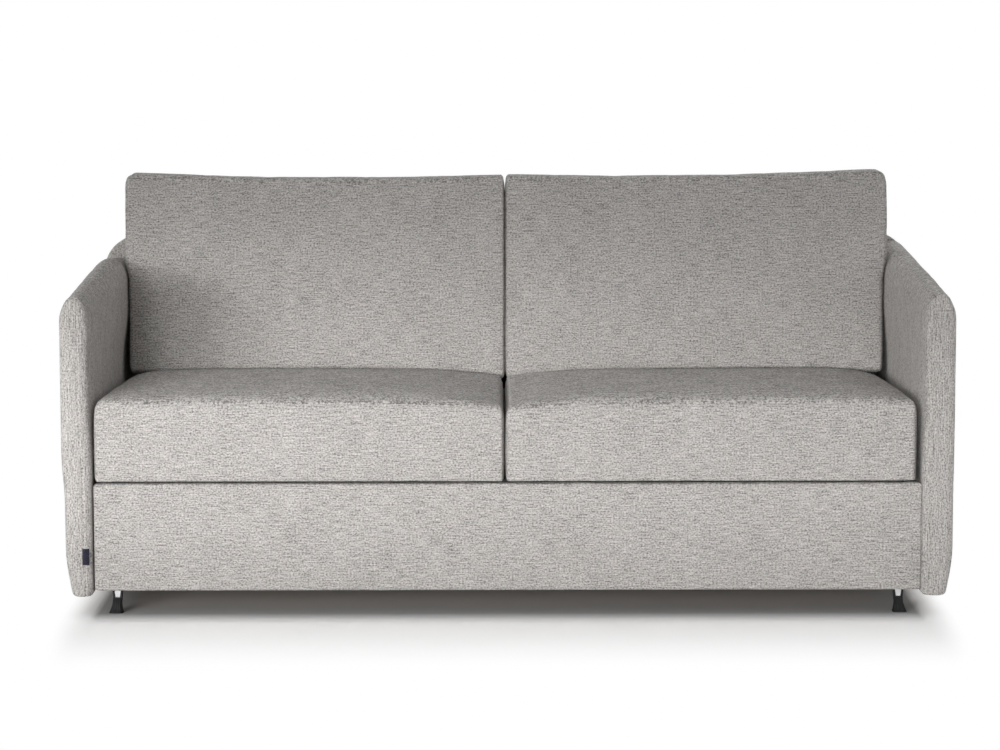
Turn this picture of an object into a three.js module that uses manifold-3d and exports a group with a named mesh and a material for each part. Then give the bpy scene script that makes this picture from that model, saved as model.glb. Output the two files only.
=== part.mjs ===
// A sleeper sofa with a fold-over bed, closed. Millimetres, +Z up, the front faces -Y, and the origin
// lies on the floor under the middle. Left is -X. The seat and back cushions ride on two sections of a
// three-section bed, which rolls forward over the front panel on a pair of lift links at each end.
import * as THREE from "three";
import { mergeVertices } from "three/addons/utils/BufferGeometryUtils.js";
import Module from "manifold-3d";

const wasm = await Module();
wasm.setup();

// Overall
const width = 1900;
const depth = 960;
const touch = 0.3; // clearance of pieces that lie against each other
const overrun = 20; // how far a cutter reaches past what it cuts

// Arms: slim upholstered slabs on a board, tucked in towards the floor
const armThickness = 70;
const armHem = 40;
const armFrontHeight = 685;
const armRise = 50;
const armCrestRadius = 34;
const armFrontRadius = 20;
const armHemRadius = 10;
const armTuck = 25;
const armTuckHeight = 310;
const armTuckPower = 1.6;
const armSwell = 2;

// Rear shell: the upholstered slab behind the bed
const shellThickness = 68;
const shellHeight = 745;
const shellCornerRadius = 60;
const shellEdgeRadius = 16;

// Boards inside the arms, the shell and the front panel
const boardThickness = 18;
const boardInset = 16; // upholstery between a board's face and the inner face of an arm
const boardMargin = 45; // upholstery round a board's edges

// Front panel between the arms
const panelSetback = 13;
const panelThickness = 30;
const panelHem = 53;
const panelTopGap = 3;
const panelSideGap = 3;
const panelEdgeRadius = 9;
const panelBoardMargin = 12;

// Base: side rails against the arms, cross tubes on four stemmed feet
const baseRailThickness = 16.7;
const baseRailBottom = 60;
const baseRailHeight = 50;
const baseTubeWidth = 20;
const baseTubeHeight = 25;
const baseTubeBottom = 55;
const stemRadius = 7;
const footInset = 120; // from the outside of the arm to the stem's middle
const footHeight = 34;
const footTopRadius = 10.5;
const footSoleRadius = 15.5;
const footWaistRadius = 10.8;
const footWaistShare = 0.62; // the waist's height, as a share of the boot's
const footKick = 3.5; // the sole stands this much further out than the stem

// Lift links and their pivots
const linkLength = 200;
const linkRestAngle = THREE.MathUtils.degToRad(-35);
const linkSwing = THREE.MathUtils.degToRad(122.5); // from the closed sofa to the open bed
const linkWidth = 26;
const linkThickness = 10;
const linkSideGap = 4;
const pivotPinRadius = 6;
const pivotHoleRadius = 6.3;
const looseHoleRadius = 7.5; // the rear links' upper eyes, where the closed loop has play
const collarRadius = 9;
const collarThickness = 2;
const pivotBlockWidth = 50;
const frontPivotSpan = 255; // from the fold axis back to the front links' upper pivots
const rearPivotInset = 58; // from the head section's rear end forward to the rear links' upper pivots

// Bed sections
const railBottom = 55;
const railHeight = 20;
const railWidth = 25;
const mattressThickness = 94;
const foldGap = 0.7; // half the gap between the two folded mattress sections
const foldSetback = 75; // from the sofa's front to the fold axis
const mattressSideGap = 10;
const mattressEndGap = 2;
const mattressRadius = 12;
const headShellGap = 54; // room for the head section to swing back as it lifts
const backShellGap = 22.7; // from the upright mattress section to the shell
const footSpan = 475;
const railEndGap = 3;
const barWidth = 20;
const slatWidth = 56;
const slatThickness = 12;
const slatPitch = 95;
const slatEndGap = 8;
const strapWidth = 44;
const strapThickness = 3;
const strapBite = 1;
const strapPlaceShares = [-0.62, 0, 0.62];

// Fold hinge between the head and seat sections
const foldPlateThickness = 6;
const foldPlateGap = 3;
const foldPlateWidth = 45;
const foldEyeRadius = 15;
const foldPinRadius = 5;
const foldHoleRadius = 5.3;
const foldPinHeadRadius = 8;
const foldPinOverhang = 2;

// Hinge between the seat and back sections
const tongueThickness = 6;
const tongueInset = 6; // from the rail's inner face
const tongueGap = 1;
const tongueRadius = 9;
const tongueRoot = 30;
const tongueEndGap = 14; // from the hinge axis to the end of either rail
const hingePinRadius = 4.5;
const hingeHoleRadius = 4.8;
const hingePinOverhang = 2;

// Support legs, which fold sideways into the space behind the seat cushions
const legBarHeight = 40;
const legBarDrop = 27; // from the back cushions' lower edge down to the leg bar
const legWidth = 20;
const legThickness = 16;
const legAxisDrop = 15; // from the leg bar's face to the leg's hinge axis
const legInset = 30; // from the rail's inner face to the leg's hinge axis
const legLugThickness = 7;
const legLugGap = 1;
const legLugRadius = 10;
const legLugRoot = 6;
const legPinRadius = 4.5;
const legHoleRadius = 4.8;
const legCapHeight = 12;
const legCapWall = 2.5;

// Seat cushions
const cushionHalfGap = 2; // from the sofa's middle to either cushion
const cushionSideGap = 6;
const seatSetback = 5;
const seatRearGap = 165; // room for the legs between a seat cushion and the hinge axis
const seatHeight = 460;
const seatCrown = 11;
const seatFrontSwell = 7;
const seatTopRadius = 40;
const seatHemRadius = 12;
const seatRearRadius = 24;
const seatSideRadius = 16;
const seatSidePull = 5;
const seatNoseLift = 5;
const seatNoseDepth = 80;

// Back cushions
const backHeight = 905;
const backRise = 2; // from the seat's edge to the back cushion's lower edge
const backBottomDepth = 150;
const backTopDepth = 100;
const backFrontRadius = 26;
const backRearRadius = 14;
const backTopRadius = 24;
const backBottomRadius = 22;
const backSideRadius = 20;
const backCrown = 13;
const backTopDip = 8;
const backSidePull = 5;

// Places that follow
const halfWidth = width / 2;
const frontY = -depth / 2;
const rearY = depth / 2;
const armInner = halfWidth - armThickness;
const shellFront = rearY - shellThickness;
const foldY = frontY + foldSetback;
const railTop = railBottom + railHeight;
const foldZ = railTop + touch + mattressThickness + foldGap;
const seatRailBottom = foldZ + (foldZ - railTop);
const seatRailTop = seatRailBottom + railHeight;
const headRear = shellFront - headShellGap;
const hingeY = shellFront - backShellGap - mattressThickness - touch - railHeight / 2;
const hingeZ = (seatRailBottom + seatRailTop) / 2;
const backRailFront = hingeY - railHeight / 2;
const backRailRear = hingeY + railHeight / 2;
const backRailTop = hingeZ + footSpan;
const panelFront = frontY + panelSetback;
const panelRear = panelFront + panelThickness;
const pivotZ = railBottom + railHeight / 2;
const basePivotZ = pivotZ - linkLength * Math.sin(linkRestAngle);
const linkReach = linkLength * Math.cos(linkRestAngle);

// Lanes across the sofa, as distances from its middle plane, from the arm inwards
const baseLane = [armInner - touch - baseRailThickness, armInner - touch];
const linkLane = [baseLane[0] - linkSideGap - linkThickness, baseLane[0] - linkSideGap];
const railLane = [linkLane[0] - linkSideGap - railWidth, linkLane[0] - linkSideGap];
const deckHalf = railLane[0] - touch;
const mattressHalf = railLane[0] - mattressSideGap;
const headPlateLane = [railLane[0], railLane[0] + foldPlateThickness];
const seatPlateLane = [headPlateLane[1] + foldPlateGap, headPlateLane[1] + foldPlateGap + foldPlateThickness];
const seatTongueLane = [railLane[0] + tongueInset, railLane[0] + tongueInset + tongueThickness];
const backTongueLane = [seatTongueLane[1] + tongueGap, seatTongueLane[1] + tongueGap + tongueThickness];

const sides = [
  { word: "left", sign: -1 },
  { word: "right", sign: 1 },
];
const roundSegments = 16;
const arcShares = [Math.tan(Math.PI / 8), 1]; // stations in a rounded edge, as shares of its radius

const sofa = new THREE.Group();
const palette = {
  fabric: { color: 0xaaa7a3, roughness: 0.95, metalness: 0 },
  ticking: { color: 0xe6e3dc, roughness: 0.9, metalness: 0 },
  wood: { color: 0xb08a5e, roughness: 0.7, metalness: 0 },
  darkSteel: { color: 0x3a3c3f, roughness: 0.5, metalness: 1 },
  brightSteel: { color: 0xb9bcbf, roughness: 0.3, metalness: 1 },
  plastic: { color: 0x1b1b1c, roughness: 0.55, metalness: 0 },
};

// Adds one named piece.
function addPiece(name, geometry, finish) {
  const mesh = new THREE.Mesh(geometry, new THREE.MeshStandardMaterial(palette[finish]));
  mesh.name = name;
  sofa.add(mesh);
}

// Solids and joins
function toSolid(geometry) {
  const bare = geometry.clone();
  bare.deleteAttribute("normal");
  bare.deleteAttribute("uv");
  const merged = mergeVertices(bare);
  return new wasm.Manifold(
    new wasm.Mesh({
      numProp: 3,
      vertProperties: new Float32Array(merged.attributes.position.array),
      triVerts: new Uint32Array(merged.index.array),
    }),
  );
}

function toGeometry(solid) {
  const mesh = solid.getMesh();
  const geometry = new THREE.BufferGeometry();
  geometry.setAttribute("position", new THREE.Float32BufferAttribute(mesh.vertProperties, 3));
  geometry.setIndex(new THREE.Uint32BufferAttribute(mesh.triVerts, 1));
  geometry.computeVertexNormals();
  return geometry;
}

function join(...geometries) {
  return toGeometry(geometries.map(toSolid).reduce((whole, piece) => whole.add(piece)));
}

function cut(geometry, ...cutters) {
  return toGeometry(cutters.map(toSolid).reduce((whole, cutter) => whole.subtract(cutter), toSolid(geometry)));
}

// A plain block between two values on each axis.
function block(xs, ys, zs) {
  const geometry = new THREE.BoxGeometry(
    Math.abs(xs[1] - xs[0]),
    Math.abs(ys[1] - ys[0]),
    Math.abs(zs[1] - zs[0]),
  );
  return geometry.translate((xs[0] + xs[1]) / 2, (ys[0] + ys[1]) / 2, (zs[0] + zs[1]) / 2);
}

// A lane on one side of the sofa, as an ordered pair of x values.
function onSide(sign, lane) {
  return lane.map((value) => sign * value).sort((a, b) => a - b);
}

function roundBar(axis, radius, from, to, centre) {
  const geometry = new THREE.CylinderGeometry(radius, radius, Math.abs(to - from), roundSegments);
  const middle = (from + to) / 2;
  if (axis === "x") {
    return geometry.rotateZ(Math.PI / 2).translate(middle, centre[0], centre[1]);
  }
  return geometry.rotateX(Math.PI / 2).translate(centre[0], centre[1], middle);
}

function hole(y, z, radius) {
  const path = new THREE.Path();
  path.absarc(y, z, radius, 0, 2 * Math.PI, true);
  return path;
}

// A plate that lies in a lane, drawn from the side as y and z.
function plate(lane, outline, holes = []) {
  outline.holes.push(...holes);
  const geometry = new THREE.ExtrudeGeometry(outline, {
    depth: lane[1] - lane[0],
    bevelEnabled: false,
    curveSegments: roundSegments / 2,
  });
  const turn = new THREE.Matrix4().makeBasis(
    new THREE.Vector3(0, 1, 0),
    new THREE.Vector3(0, 0, 1),
    new THREE.Vector3(1, 0, 0),
  );
  return geometry.applyMatrix4(turn).translate(lane[0], 0, 0);
}

function rectangle(ys, zs) {
  return new THREE.Shape([
    new THREE.Vector2(ys[0], zs[0]),
    new THREE.Vector2(ys[1], zs[0]),
    new THREE.Vector2(ys[1], zs[1]),
    new THREE.Vector2(ys[0], zs[1]),
  ]);
}

// A bar with round ends about two centres.
function roundEnded(from, to, radius) {
  const heading = Math.atan2(to[1] - from[1], to[0] - from[0]);
  const outline = new THREE.Shape();
  outline.absarc(to[0], to[1], radius, heading - Math.PI / 2, heading + Math.PI / 2, false);
  outline.absarc(from[0], from[1], radius, heading + Math.PI / 2, heading + (3 * Math.PI) / 2, false);
  return outline;
}

// Stations along one axis of a soft block: even cells between the rounded edges, then the edges' arcs.
function stations([low, high], [lowRadius, highRadius], cells) {
  const places = [];
  if (lowRadius > 0) {
    places.push(...[...arcShares].reverse().map((share) => low + lowRadius - share * lowRadius));
  }
  const inner = [low + lowRadius, high - highRadius];
  for (let i = 0; i <= cells; i++) {
    places.push(inner[0] + ((inner[1] - inner[0]) * i) / cells);
  }
  if (highRadius > 0) {
    places.push(...arcShares.map((share) => high - highRadius + share * highRadius));
  }
  return places;
}

// A closed block with rounded edges. Radii are a pair for each axis, low side first, and a zero radius
// leaves that side a flat cap. The shape function moves each point, given its shares from -1 to 1.
function softBlock(box, radii, cells, shape) {
  const axes = ["x", "y", "z"];
  const lines = axes.map((axis) => stations(box[axis], radii[axis], cells[axis]));
  const last = lines.map((line) => line.length - 1);
  const points = [];
  const indexOf = new Map();

  function placeOf(lattice) {
    const inner = [];
    const lean = [];
    const radius = [];
    axes.forEach((axis, i) => {
      const value = lines[i][lattice[i]];
      const [low, high] = box[axis];
      const [lowRadius, highRadius] = radii[axis];
      const near = Math.min(Math.max(value, low + lowRadius), high - highRadius);
      inner.push(near);
      radius.push(value < near ? lowRadius : highRadius);
      lean.push(radius[i] === 0 ? 0 : (value - near) / radius[i]);
    });
    const length = Math.hypot(...lean);
    const reach = length > 0 ? Math.max(...lean.map(Math.abs)) / length : 0;
    const place = inner.map((value, i) => value + lean[i] * reach * radius[i]);
    const share = place.map((value, i) => {
      const [low, high] = box[axes[i]];
      return (2 * value - low - high) / (high - low);
    });
    return shape ? shape(place, share) : place;
  }

  function pointAt(lattice) {
    const key = lattice.join();
    if (!indexOf.has(key)) {
      indexOf.set(key, points.length / 3);
      points.push(...placeOf(lattice));
    }
    return indexOf.get(key);
  }

  const triangles = [];
  for (let axis = 0; axis < 3; axis++) {
    const across = (axis + 1) % 3;
    const along = (axis + 2) % 3;
    for (const end of [0, last[axis]]) {
      for (let i = 0; i < last[across]; i++) {
        for (let j = 0; j < last[along]; j++) {
          const corners = [
            [i, j],
            [i + 1, j],
            [i + 1, j + 1],
            [i, j + 1],
          ].map(([a, b]) => {
            const lattice = [0, 0, 0];
            lattice[axis] = end;
            lattice[across] = a;
            lattice[along] = b;
            return pointAt(lattice);
          });
          if (end === 0) {
            corners.reverse();
          }
          triangles.push(corners[0], corners[1], corners[2], corners[0], corners[2], corners[3]);
        }
      }
    }
  }
  const geometry = new THREE.BufferGeometry();
  geometry.setAttribute("position", new THREE.Float32BufferAttribute(points, 3));
  geometry.setIndex(triangles);
  geometry.computeVertexNormals();
  return geometry;
}

// The outer sides of the arms and the shell draw in towards the floor.
function tuckAt(z) {
  const share = (armHem + armTuckHeight - z) / armTuckHeight;
  return share > 0 ? armTuck * share ** armTuckPower : 0;
}

// Arms: an upholstered cover round a board, open underneath where the board stands
function addArm({ word, sign }) {
  const ys = [frontY, shellFront - touch];
  const outerRadius = armCrestRadius;
  const radii = {
    x: [outerRadius, outerRadius],
    y: [armFrontRadius, 0],
    z: [armHemRadius, armCrestRadius],
  };
  const box = { x: onSide(sign, [armInner, halfWidth]), y: ys, z: [armHem, armFrontHeight] };
  const cover = softBlock(box, radii, { x: 1, y: 8, z: 8 }, ([x, y, z], [u, v, w]) => {
    const outside = (1 + sign * u) / 2;
    const rise = (armRise * (1 + v) * (1 + w)) / 4;
    const above = Math.max(0, (z - seatRailTop) / (armFrontHeight - seatRailTop));
    const swell = armSwell * (1 - v * v) * 4 * above * (1 - above) * (1 - outside);
    return [x - sign * (outside * tuckAt(z) + swell), y, z + rise];
  });
  const boardLane = onSide(sign, [armInner + boardInset, armInner + boardInset + boardThickness]);
  const boardYs = [ys[0] + boardMargin, ys[1] - boardMargin];
  const boardZs = [armHem, armFrontHeight - boardMargin];
  const slot = block(
    [boardLane[0] - touch, boardLane[1] + touch],
    [boardYs[0] - touch, boardYs[1] + touch],
    [armHem - overrun, boardZs[1] + touch],
  );
  addPiece(`${word}_arm_cover`, cut(cover, slot), "fabric");
  addPiece(`${word}_arm_board`, block(boardLane, boardYs, boardZs), "wood");
}

// Rear shell: the same build as the arms, across the whole width
function addShell() {
  const radii = {
    x: [shellCornerRadius, shellCornerRadius],
    y: [0, shellEdgeRadius],
    z: [armHemRadius, shellCornerRadius],
  };
  const box = { x: [-halfWidth, halfWidth], y: [shellFront, rearY], z: [armHem, shellHeight] };
  const cover = softBlock(box, radii, { x: 8, y: 1, z: 6 }, ([x, y, z], [u]) => [x - u * tuckAt(z), y, z]);
  const boardXs = [-armInner, armInner];
  const boardMiddle = (shellFront + rearY) / 2;
  const boardYs = [boardMiddle - boardThickness / 2, boardMiddle + boardThickness / 2];
  const boardZs = [armHem, shellHeight - boardMargin];
  const slot = block(
    [boardXs[0] - touch, boardXs[1] + touch],
    [boardYs[0] - touch, boardYs[1] + touch],
    [armHem - overrun, boardZs[1] + touch],
  );
  addPiece("rear_shell_cover", cut(cover, slot), "fabric");
  addPiece("rear_shell_board", block(boardXs, boardYs, boardZs), "wood");
}

// Front panel: a board with its upholstery wrapped round the front and the edges
function addPanel() {
  const half = armInner - panelSideGap;
  const zs = [panelHem, seatRailTop - panelTopGap];
  const radii = { x: [panelEdgeRadius, panelEdgeRadius], y: [panelEdgeRadius, 0], z: [panelEdgeRadius, panelEdgeRadius] };
  const cover = softBlock({ x: [-half, half], y: [panelFront, panelRear], z: zs }, radii, { x: 8, y: 1, z: 3 });
  const boardXs = [panelBoardMargin - half, half - panelBoardMargin];
  const boardYs = [panelRear - boardThickness, panelRear];
  const boardZs = [zs[0] + panelBoardMargin, zs[1] - panelBoardMargin];
  const slot = block(
    [boardXs[0] - touch, boardXs[1] + touch],
    [boardYs[0] - touch, panelRear + overrun],
    [boardZs[0] - touch, boardZs[1] + touch],
  );
  addPiece("front_panel_cover", cut(cover, slot), "fabric");
  addPiece("front_panel_board", block(boardXs, boardYs, boardZs), "wood");
}

// Base frame
const frontTubeYs = [panelRear + touch, panelRear + touch + baseTubeWidth];
const rearTubeYs = [shellFront - touch - baseTubeWidth, shellFront - touch];
const footX = halfWidth - footInset;

function addBaseFrame() {
  for (const { word, sign } of sides) {
    const rail = block(
      onSide(sign, baseLane),
      [frontTubeYs[0], rearTubeYs[1]],
      [baseRailBottom, baseRailBottom + baseRailHeight],
    );
    addPiece(`${word}_base_rail`, rail, "darkSteel");
  }
  const half = baseLane[0] - touch;
  const ends = [
    { word: "front", ys: frontTubeYs },
    { word: "rear", ys: rearTubeYs },
  ];
  for (const { word, ys } of ends) {
    const middle = (ys[0] + ys[1]) / 2;
    const zs = [baseTubeBottom, baseTubeBottom + baseTubeHeight];
    addPiece(`base_${word}_tube`, block([-half, half], ys, zs), "brightSteel");
    for (const side of sides) {
      addFoot(`${word}_${side.word}_foot`, side.sign, middle);
    }
  }
}

// A flared boot moulded round a stem, which stands under a cross tube. Its sole kicks outwards.
function addFoot(name, sign, y) {
  const profile = [
    new THREE.Vector2(0, 0),
    new THREE.Vector2(footSoleRadius, 0),
    new THREE.Vector2(footWaistRadius, footHeight * footWaistShare),
    new THREE.Vector2(footTopRadius, footHeight),
    new THREE.Vector2(0, footHeight),
  ];
  const boot = new THREE.LatheGeometry(profile, roundSegments).rotateX(Math.PI / 2);
  const place = boot.attributes.position;
  for (let i = 0; i < place.count; i++) {
    const below = Math.max(0, footHeight - place.getZ(i)) / footHeight;
    place.setX(i, place.getX(i) + sign * footKick * below);
  }
  const stem = roundBar("z", stemRadius, footHeight / 2, baseTubeBottom - touch, [0, 0]);
  addPiece(name, join(boot, stem).translate(sign * footX, y, 0), "plastic");
}

// Lift links, the blocks that carry them and the pins that carry the bed
const pivotEnds = [
  { word: "front", y: foldY + frontPivotSpan, upperHole: pivotHoleRadius },
  { word: "rear", y: headRear - rearPivotInset, upperHole: looseHoleRadius },
];

function addPivotBlock(name, sign, y) {
  const half = pivotBlockWidth / 2;
  const top = basePivotZ + linkWidth / 2;
  const outline = new THREE.Shape();
  outline.moveTo(y - half, baseRailBottom + baseRailHeight + touch);
  outline.lineTo(y + half, baseRailBottom + baseRailHeight + touch);
  outline.lineTo(y + linkWidth / 2, top);
  outline.lineTo(y - linkWidth / 2, top);
  outline.closePath();
  const centre = [y, basePivotZ];
  const collarFace = linkLane[0] - touch;
  const tip = collarFace - collarThickness;
  const root = baseLane[0] + baseRailThickness / 2;
  const pin = roundBar("x", pivotPinRadius, sign * tip, sign * root, centre);
  const collar = roundBar("x", collarRadius, sign * tip, sign * collarFace, centre);
  addPiece(name, join(plate(onSide(sign, baseLane), outline), pin, collar), "darkSteel");
}

function addLink(name, sign, y, upperHole) {
  const lower = [y - linkReach, basePivotZ];
  const upper = [y, pivotZ];
  const outline = roundEnded(lower, upper, linkWidth / 2);
  const holes = [hole(...lower, pivotHoleRadius), hole(...upper, upperHole)];
  addPiece(name, plate(onSide(sign, linkLane), outline, holes), "darkSteel");
}

function addLinkPin(name, sign, y) {
  const centre = [y, pivotZ];
  const collarFace = linkLane[1] + touch;
  const tip = collarFace + collarThickness;
  const pin = roundBar("x", pivotPinRadius, sign * (railLane[0] + touch), sign * tip, centre);
  const collar = roundBar("x", collarRadius, sign * collarFace, sign * tip, centre);
  addPiece(name, join(pin, collar), "brightSteel");
}

function addLifts() {
  for (const { word, sign } of sides) {
    for (const end of pivotEnds) {
      const corner = `${end.word}_${word}`;
      addPivotBlock(`${corner}_pivot_block`, sign, end.y - linkReach);
      addLink(`${corner}_link`, sign, end.y, end.upperHole);
      addLinkPin(`${corner}_link_pin`, sign, end.y);
    }
  }
}

// The hinge plate that reaches from a rail to the fold axis, downwards (-1) or upwards (1) from it
function foldPlate(lane, upDown) {
  const near = foldY + railEndGap;
  const far = foldZ + upDown * (foldZ - railBottom);
  const neck = foldZ + upDown * 2 * foldEyeRadius;
  const corners = [
    [near, neck],
    [near, far],
    [near + foldPlateWidth, far],
  ];
  if (upDown > 0) {
    corners.reverse();
  }
  const start = upDown > 0 ? Math.PI : 0;
  const outline = new THREE.Shape();
  outline.absarc(foldY, foldZ, foldEyeRadius, start, start + Math.PI, false);
  corners.forEach(([y, z]) => outline.lineTo(y, z));
  return plate(lane, outline, [hole(foldY, foldZ, foldHoleRadius)]);
}

// A deck of slats across the bed, held by lengthwise straps. "along" runs along the bed and "level"
// through it. An upright deck runs along z.
function addDeck(name, along, level, strapLevel, upright) {
  const turned = (xs, alongs, levels) => (upright ? block(xs, levels, alongs) : block(xs, alongs, levels));
  const room = along[1] - along[0] - slatWidth;
  const cells = Math.round(room / slatPitch);
  const pieces = [];
  for (let i = 0; i <= cells; i++) {
    const start = along[0] + (room * i) / cells;
    pieces.push(turned([-deckHalf, deckHalf], [start, start + slatWidth], level));
  }
  for (const share of strapPlaceShares) {
    const middle = share * deckHalf;
    pieces.push(turned([middle - strapWidth / 2, middle + strapWidth / 2], along, strapLevel));
  }
  addPiece(name, join(...pieces), "wood");
}

// A section of the mattress: a firm slab with softened edges
function addMattress(name, ys, zs) {
  const pair = [mattressRadius, mattressRadius];
  const radii = { x: pair, y: pair, z: pair };
  addPiece(name, softBlock({ x: [-mattressHalf, mattressHalf], y: ys, z: zs }, radii, { x: 1, y: 1, z: 1 }), "ticking");
}

function addCrossBar(name, ys, zs) {
  addPiece(name, block([-deckHalf, deckHalf], ys, zs), "darkSteel");
}

// Head section: it stays level on the links
function addHeadSection() {
  const ys = [foldY + railEndGap, headRear];
  for (const { word, sign } of sides) {
    const holes = pivotEnds.map((end) => hole(end.y, pivotZ, pivotHoleRadius));
    const rail = plate(onSide(sign, railLane), rectangle(ys, [railBottom, railTop]), holes);
    const lane = onSide(sign, headPlateLane);
    addPiece(`${word}_head_rail`, join(rail, foldPlate(lane, -1)), "darkSteel");
  }
  const zs = [railBottom, railTop];
  addCrossBar("head_front_bar", [ys[0], ys[0] + barWidth], zs);
  addCrossBar("head_rear_bar", [ys[1] - barWidth, ys[1]], zs);
  const along = [ys[0] + barWidth + slatEndGap, ys[1] - barWidth - slatEndGap];
  const slatZs = [railTop - slatThickness, railTop];
  addDeck("head_slats", along, slatZs, [slatZs[0] - strapThickness, slatZs[0] + strapBite], false);
  addMattress("mattress_head", [foldY + mattressEndGap, headRear], [railTop + touch, foldZ - foldGap]);
}

// Seat section: it turns over about the fold axis, with the seat cushions on it
function addSeatSection() {
  const ys = [foldY + railEndGap, hingeY - tongueEndGap];
  const zs = [seatRailBottom, seatRailTop];
  for (const { word, sign } of sides) {
    const rail = block(onSide(sign, railLane), ys, zs);
    const tongue = plate(
      onSide(sign, seatTongueLane),
      roundEnded([ys[1] - tongueRoot, hingeZ], [hingeY, hingeZ], tongueRadius),
      [hole(hingeY, hingeZ, hingeHoleRadius)],
    );
    addPiece(`${word}_seat_rail`, join(rail, tongue, foldPlate(onSide(sign, seatPlateLane), 1)), "darkSteel");
    addFoldPin(word, sign);
  }
  addCrossBar("seat_front_bar", [ys[0], ys[0] + barWidth], zs);
  addCrossBar("seat_rear_bar", [ys[1] - barWidth, ys[1]], zs);
  const along = [ys[0] + barWidth + slatEndGap, ys[1] - barWidth - slatEndGap];
  const slatZs = [seatRailBottom, seatRailBottom + slatThickness];
  addDeck("seat_slats", along, slatZs, [slatZs[1] - strapBite, slatZs[1] + strapThickness], false);
  const mattressYs = [foldY + mattressEndGap, hingeY - mattressEndGap];
  addMattress("mattress_middle", mattressYs, [foldZ + foldGap, seatRailBottom - touch]);
  sides.forEach(addSeatCushion);
}

function addFoldPin(word, sign) {
  const headFace = seatPlateLane[1] + touch;
  const tip = headFace + foldPinOverhang;
  const centre = [foldY, foldZ];
  const pin = roundBar("x", foldPinRadius, sign * (headPlateLane[0] - foldPinOverhang), sign * tip, centre);
  const head = roundBar("x", foldPinHeadRadius, sign * headFace, sign * tip, centre);
  addPiece(`${word}_fold_pin`, join(pin, head), "brightSteel");
}

// A seat cushion: crowned top, swelling front, sides drawn in between the corners, underside flat
// where it rests and lifted a little under the nose
function addSeatCushion({ word, sign }) {
  const front = frontY + seatSetback;
  const box = {
    x: onSide(sign, [cushionHalfGap, armInner - cushionSideGap]),
    y: [front + seatFrontSwell, hingeY - seatRearGap],
    z: [seatRailTop + touch, seatHeight],
  };
  const radii = {
    x: [seatSideRadius, seatSideRadius],
    y: [seatTopRadius, seatRearRadius],
    z: [seatHemRadius, seatTopRadius],
  };
  const cushion = softBlock(box, radii, { x: 8, y: 6, z: 3 }, ([x, y, z], [u, v, w]) => {
    const crown = (seatCrown * (1 - u ** 4) * (1 - v ** 4) * (1 + w)) / 2;
    const swell = (seatFrontSwell * (1 - u ** 4) * (1 - w * w) * (1 - v)) / 2;
    const pull = seatSidePull * u * (1 - v ** 4);
    const nose = Math.max(0, front + seatNoseDepth - y) / seatNoseDepth;
    const lift = (seatNoseLift * nose * (1 - w)) / 2;
    return [x - pull, y - swell, z + crown + lift];
  });
  addPiece(`${word}_seat_cushion`, cushion, "fabric");
}

// Back section: it unfolds from upright to flat, with the back cushions on it
function addBackSection() {
  const ys = [backRailFront, backRailRear];
  const zs = [hingeZ + tongueEndGap, backRailTop];
  for (const { word, sign } of sides) {
    const rail = block(onSide(sign, railLane), ys, zs);
    const tongue = plate(
      onSide(sign, backTongueLane),
      roundEnded([hingeY, hingeZ], [hingeY, zs[0] + tongueRoot], tongueRadius),
      [hole(hingeY, hingeZ, hingeHoleRadius)],
    );
    addPiece(`${word}_back_rail`, join(rail, tongue), "darkSteel");
    const pinEnds = [seatTongueLane[0] - hingePinOverhang, backTongueLane[1] + hingePinOverhang];
    const pin = roundBar("x", hingePinRadius, sign * pinEnds[0], sign * pinEnds[1], [hingeY, hingeZ]);
    addPiece(`${word}_hinge_pin`, pin, "brightSteel");
  }
  addCrossBar("back_end_bar", ys, [zs[1] - barWidth, zs[1]]);
  addLegBar(ys);
  const along = [legBarZs[1] + slatEndGap, zs[1] - barWidth - slatEndGap];
  const slatYs = [backRailRear - slatThickness, backRailRear];
  addDeck("back_slats", along, slatYs, [slatYs[0] - strapThickness, slatYs[0] + strapBite], true);
  addMattress("mattress_foot", [backRailRear + touch, backRailRear + touch + mattressThickness], [
    hingeZ + mattressEndGap,
    backRailTop,
  ]);
  sides.forEach(addBackCushion);
}

// A back cushion: leaning front with a crown, a flat rear against the section, and a top edge that
// dips between the corners
function addBackCushion({ word, sign }) {
  const rear = backRailFront - touch;
  const box = {
    x: onSide(sign, [cushionHalfGap, armInner - cushionSideGap]),
    y: [rear - backBottomDepth, rear],
    z: [backBottom, backHeight],
  };
  const radii = {
    x: [backSideRadius, backSideRadius],
    y: [backFrontRadius, backRearRadius],
    z: [backBottomRadius, backTopRadius],
  };
  const cushion = softBlock(box, radii, { x: 8, y: 2, z: 6 }, ([x, y, z], [u, v, w]) => {
    const front = (1 - v) / 2;
    const lean = (backBottomDepth - backTopDepth) * front * ((1 + w) / 2);
    const crown = backCrown * (1 - u ** 4) * (1 - w ** 4) * front;
    const dip = (backTopDip * (1 - u * u) * (1 + w)) / 2;
    const pull = backSidePull * u * (1 - w ** 4);
    return [x - pull, y + lean - crown, z - dip];
  });
  addPiece(`${word}_back_cushion`, cushion, "fabric");
}

// Support legs: each swings on an upright pin between two lugs of the leg bar
const backBottom = seatHeight + backRise;
const legBarZs = [backBottom - legBarDrop - legBarHeight, backBottom - legBarDrop];
const legMiddle = (legBarZs[0] + legBarZs[1]) / 2;
const legZs = [legMiddle - legWidth / 2, legMiddle + legWidth / 2];
const legAxisX = railLane[0] - legInset;
const legAxisY = backRailFront - legAxisDrop;
const bedLift = linkLength * (Math.sin(linkRestAngle + linkSwing) - Math.sin(linkRestAngle));
const openRailZ = pivotZ + bedLift;
const legReach = openRailZ - (hingeY - legAxisY);

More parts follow.
